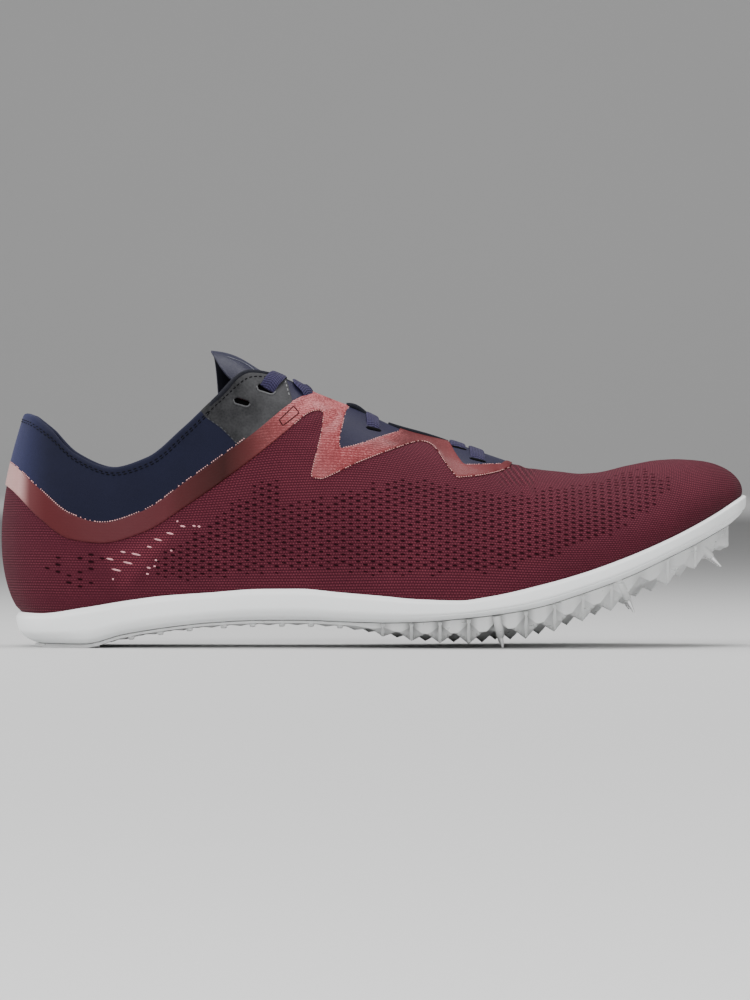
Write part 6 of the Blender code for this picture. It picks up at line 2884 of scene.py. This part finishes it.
    def _ribs(self, teeth: Array) -> None:
        """Moulded ribs from the plate's side down to its outer teeth, and thicker ones to its pins.

        Args:
            teeth: Row, place, station and side of every tooth.
        """
        lines, ridges = [], []
        for _, place, station, side in teeth:
            if place not in (1, 2 * self.teeth_across - 1):
                continue
            edge = float(self.edges(station)[0 if place == 1 else 1])
            roof = float(self.roof(station))
            low = roof - float(self.web(station)) - 0.75 * float(self.last.sole["tooth"](station))
            if roof - low > self.rib_least:
                bend = (station, 0.6 * edge + 0.4 * side, 0.45 * roof + 0.55 * low)
                lines.append(np.array([(station, edge, roof - 0.3), bend, (station, side, low)]))
        for pin in self.pins:
            root, axis = self.axis(pin)
            edge = float(self.edges(pin.root_station)[0 if "lateral" in pin.node else 1])
            roof = float(self.roof(pin.root_station)) - 0.4
            lean = axis[0] / axis[2] * (roof - root[2])
            bend = (root[0] + 0.2 * lean, 0.97 * edge + 0.03 * root[1], 0.8 * root[2] + 0.2 * roof)
            ridges.append(np.array([(root[0] + lean, edge, roof), bend, root + 0.3 * axis]))
        self.recipes.swept("plate_ribs", lines, self.rib_radius, PLATE, "plate")
        self.recipes.swept("plate_pin_ridges", ridges, self.ridge_radius, PLATE, "plate", 10)

    def _nubs(self) -> None:
        """Small round nubs along the plate's edges behind the teeth."""
        stations = np.array(self.nubs)
        lateral, medial = self.edges(stations)
        height = np.maximum(self.roof(stations) - self.web(stations) - self.nub_rise, self.nub_lowest)
        sides = (lateral + self.nub_inset, medial - self.nub_inset)
        points = np.concatenate([np.stack([stations, side, height], axis=-1) for side in sides])
        facing = np.tile([0.0, 0.0, -1.0], (len(points), 1))
        along = np.tile([1.0, 0.0, 0.0], (len(points), 1))
        spots = [Spots(points, facing, along, np.ones((len(points), 3)))]
        self.recipes.scattered("plate_nubs", bead_shape(*self.nub_size, 10, 8), spots, PLATE, "plate")


class Softbox(NamedTuple):
    """A square soft light: where it hangs, what it faces, its size in metres and its power in watts."""

    name: str
    place: Triple
    target: Triple
    size: float
    power: float


@dataclass
class Studio:
    """Pale seamless floor, soft lights and the camera at the photo's angle."""

    distance: float = 3.0
    view_width: float = 0.2865
    aim: Triple = (0.0001, 0.0, 0.0558)
    elevation: float = 0.4
    sensor: float = 36.0
    floor_grey: Colour = (0.54, 0.54, 0.54)
    floor_front: float = -12.0
    floor_back: float = 9.0
    floor_half: float = 12.0
    wall_top: float = 8.0
    wall_radius: float = 2.0
    world_strength: float = 0.32
    lights: tuple[Softbox, ...] = (
        Softbox("key_softbox", (-0.7, -1.5, 1.5), (0.0, 0.0, 0.05), 1.2, 28.0),
        Softbox("fill_softbox", (0.9, -1.9, 0.7), (0.05, 0.0, 0.05), 1.4, 15.0),
        Softbox("low_softbox", (-0.1, -2.2, 0.55), (0.0, 0.0, 0.03), 0.8, 9.0),
        Softbox("top_softbox", (0.05, 0.1, 1.5), (0.0, 0.0, 0.05), 1.0, 26.0),
        Softbox("heel_strip", (-1.2, 0.25, 0.45), (-0.13, 0.0, 0.06), 0.4, 10.0),
        Softbox("backdrop_softbox", (0.0, 6.5, 3.0), (0.0, 10.6, 0.6), 3.0, 75.0))

    def build(self) -> None:
        """Builds floor, lights, background and camera."""
        self._floor()
        for light in self.lights:
            self._light(light)
        world = bpy.data.worlds.new("studio_world")
        world.use_nodes = True
        background = world.node_tree.nodes["Background"]
        background.inputs["Color"].default_value = (1.0, 1.0, 1.0, 1.0)
        background.inputs["Strength"].default_value = self.world_strength
        bpy.context.scene.world = world
        self._camera()

    def _floor(self) -> None:
        """Seamless floor that curves up behind the shoe."""
        back, radius = self.floor_back, self.wall_radius
        turns = np.linspace(0.0, 0.5 * math.pi, 24)
        curve = [(back + radius * math.sin(turn), radius - radius * math.cos(turn)) for turn in turns]
        line = [(self.floor_front, 0.0), *curve, (back + radius, self.wall_top)]
        points = [(x, y, z) for x in (-self.floor_half, self.floor_half) for y, z in line]
        count = len(line)
        mesh = bpy.data.meshes.new("studio_floor")
        mesh.from_pydata(points, [], [(i, count + i, count + i + 1, i + 1) for i in range(count - 1)])
        mesh.shade_smooth()
        painter = Painter("studio_paper")
        vector, *_ = painter.where()
        cloud = painter.noise(vector, 3.0, 2.0)
        darker = tuple(0.97 * part for part in self.floor_grey)
        painter.set(Base_Color=painter.mix(cloud, darker, self.floor_grey), Roughness=0.9)
        mesh.materials.append(painter.made)
        add_object("studio_floor", mesh)

    @staticmethod
    def _light(light: Softbox) -> None:
        """Adds one softbox, hidden from the camera itself.

        Args:
            light: The softbox.
        """
        lamp = bpy.data.lights.new(light.name, "AREA")
        lamp.size = light.size
        lamp.energy = light.power
        made = bpy.data.objects.new(light.name, lamp)
        made.visible_camera = False
        made.location = light.place
        made.rotation_euler = (Vector(light.target) - Vector(light.place)).to_track_quat("-Z", "Y").to_euler()
        bpy.context.scene.collection.objects.link(made)

    def _camera(self) -> None:
        """Adds the camera, square to the shoe's outer side."""
        camera = bpy.data.cameras.new("photo_camera")
        camera.sensor_fit = "HORIZONTAL"
        camera.sensor_width = self.sensor
        camera.lens = self.sensor * self.distance / self.view_width
        made = bpy.data.objects.new("photo_camera", camera)
        tilt = math.radians(self.elevation)
        aim = Vector(self.aim)
        made.location = aim + Vector((0.0, -math.cos(tilt), math.sin(tilt))) * self.distance
        made.rotation_euler = (aim - made.location).to_track_quat("-Z", "Y").to_euler()
        bpy.context.scene.collection.objects.link(made)
        bpy.context.scene.camera = made


def main() -> None:
    """Builds the shoe piece by piece, then the studio."""
    kit = (Last(), Recipes())
    Studio().build()
    for assembly in (Midsole, Plate, Upper, Insole, Tongue, Windows, Collar, Eyestays, FilmOverlay, Laces):
        assembly(*kit).build()


if __name__ == "__main__":
    main()
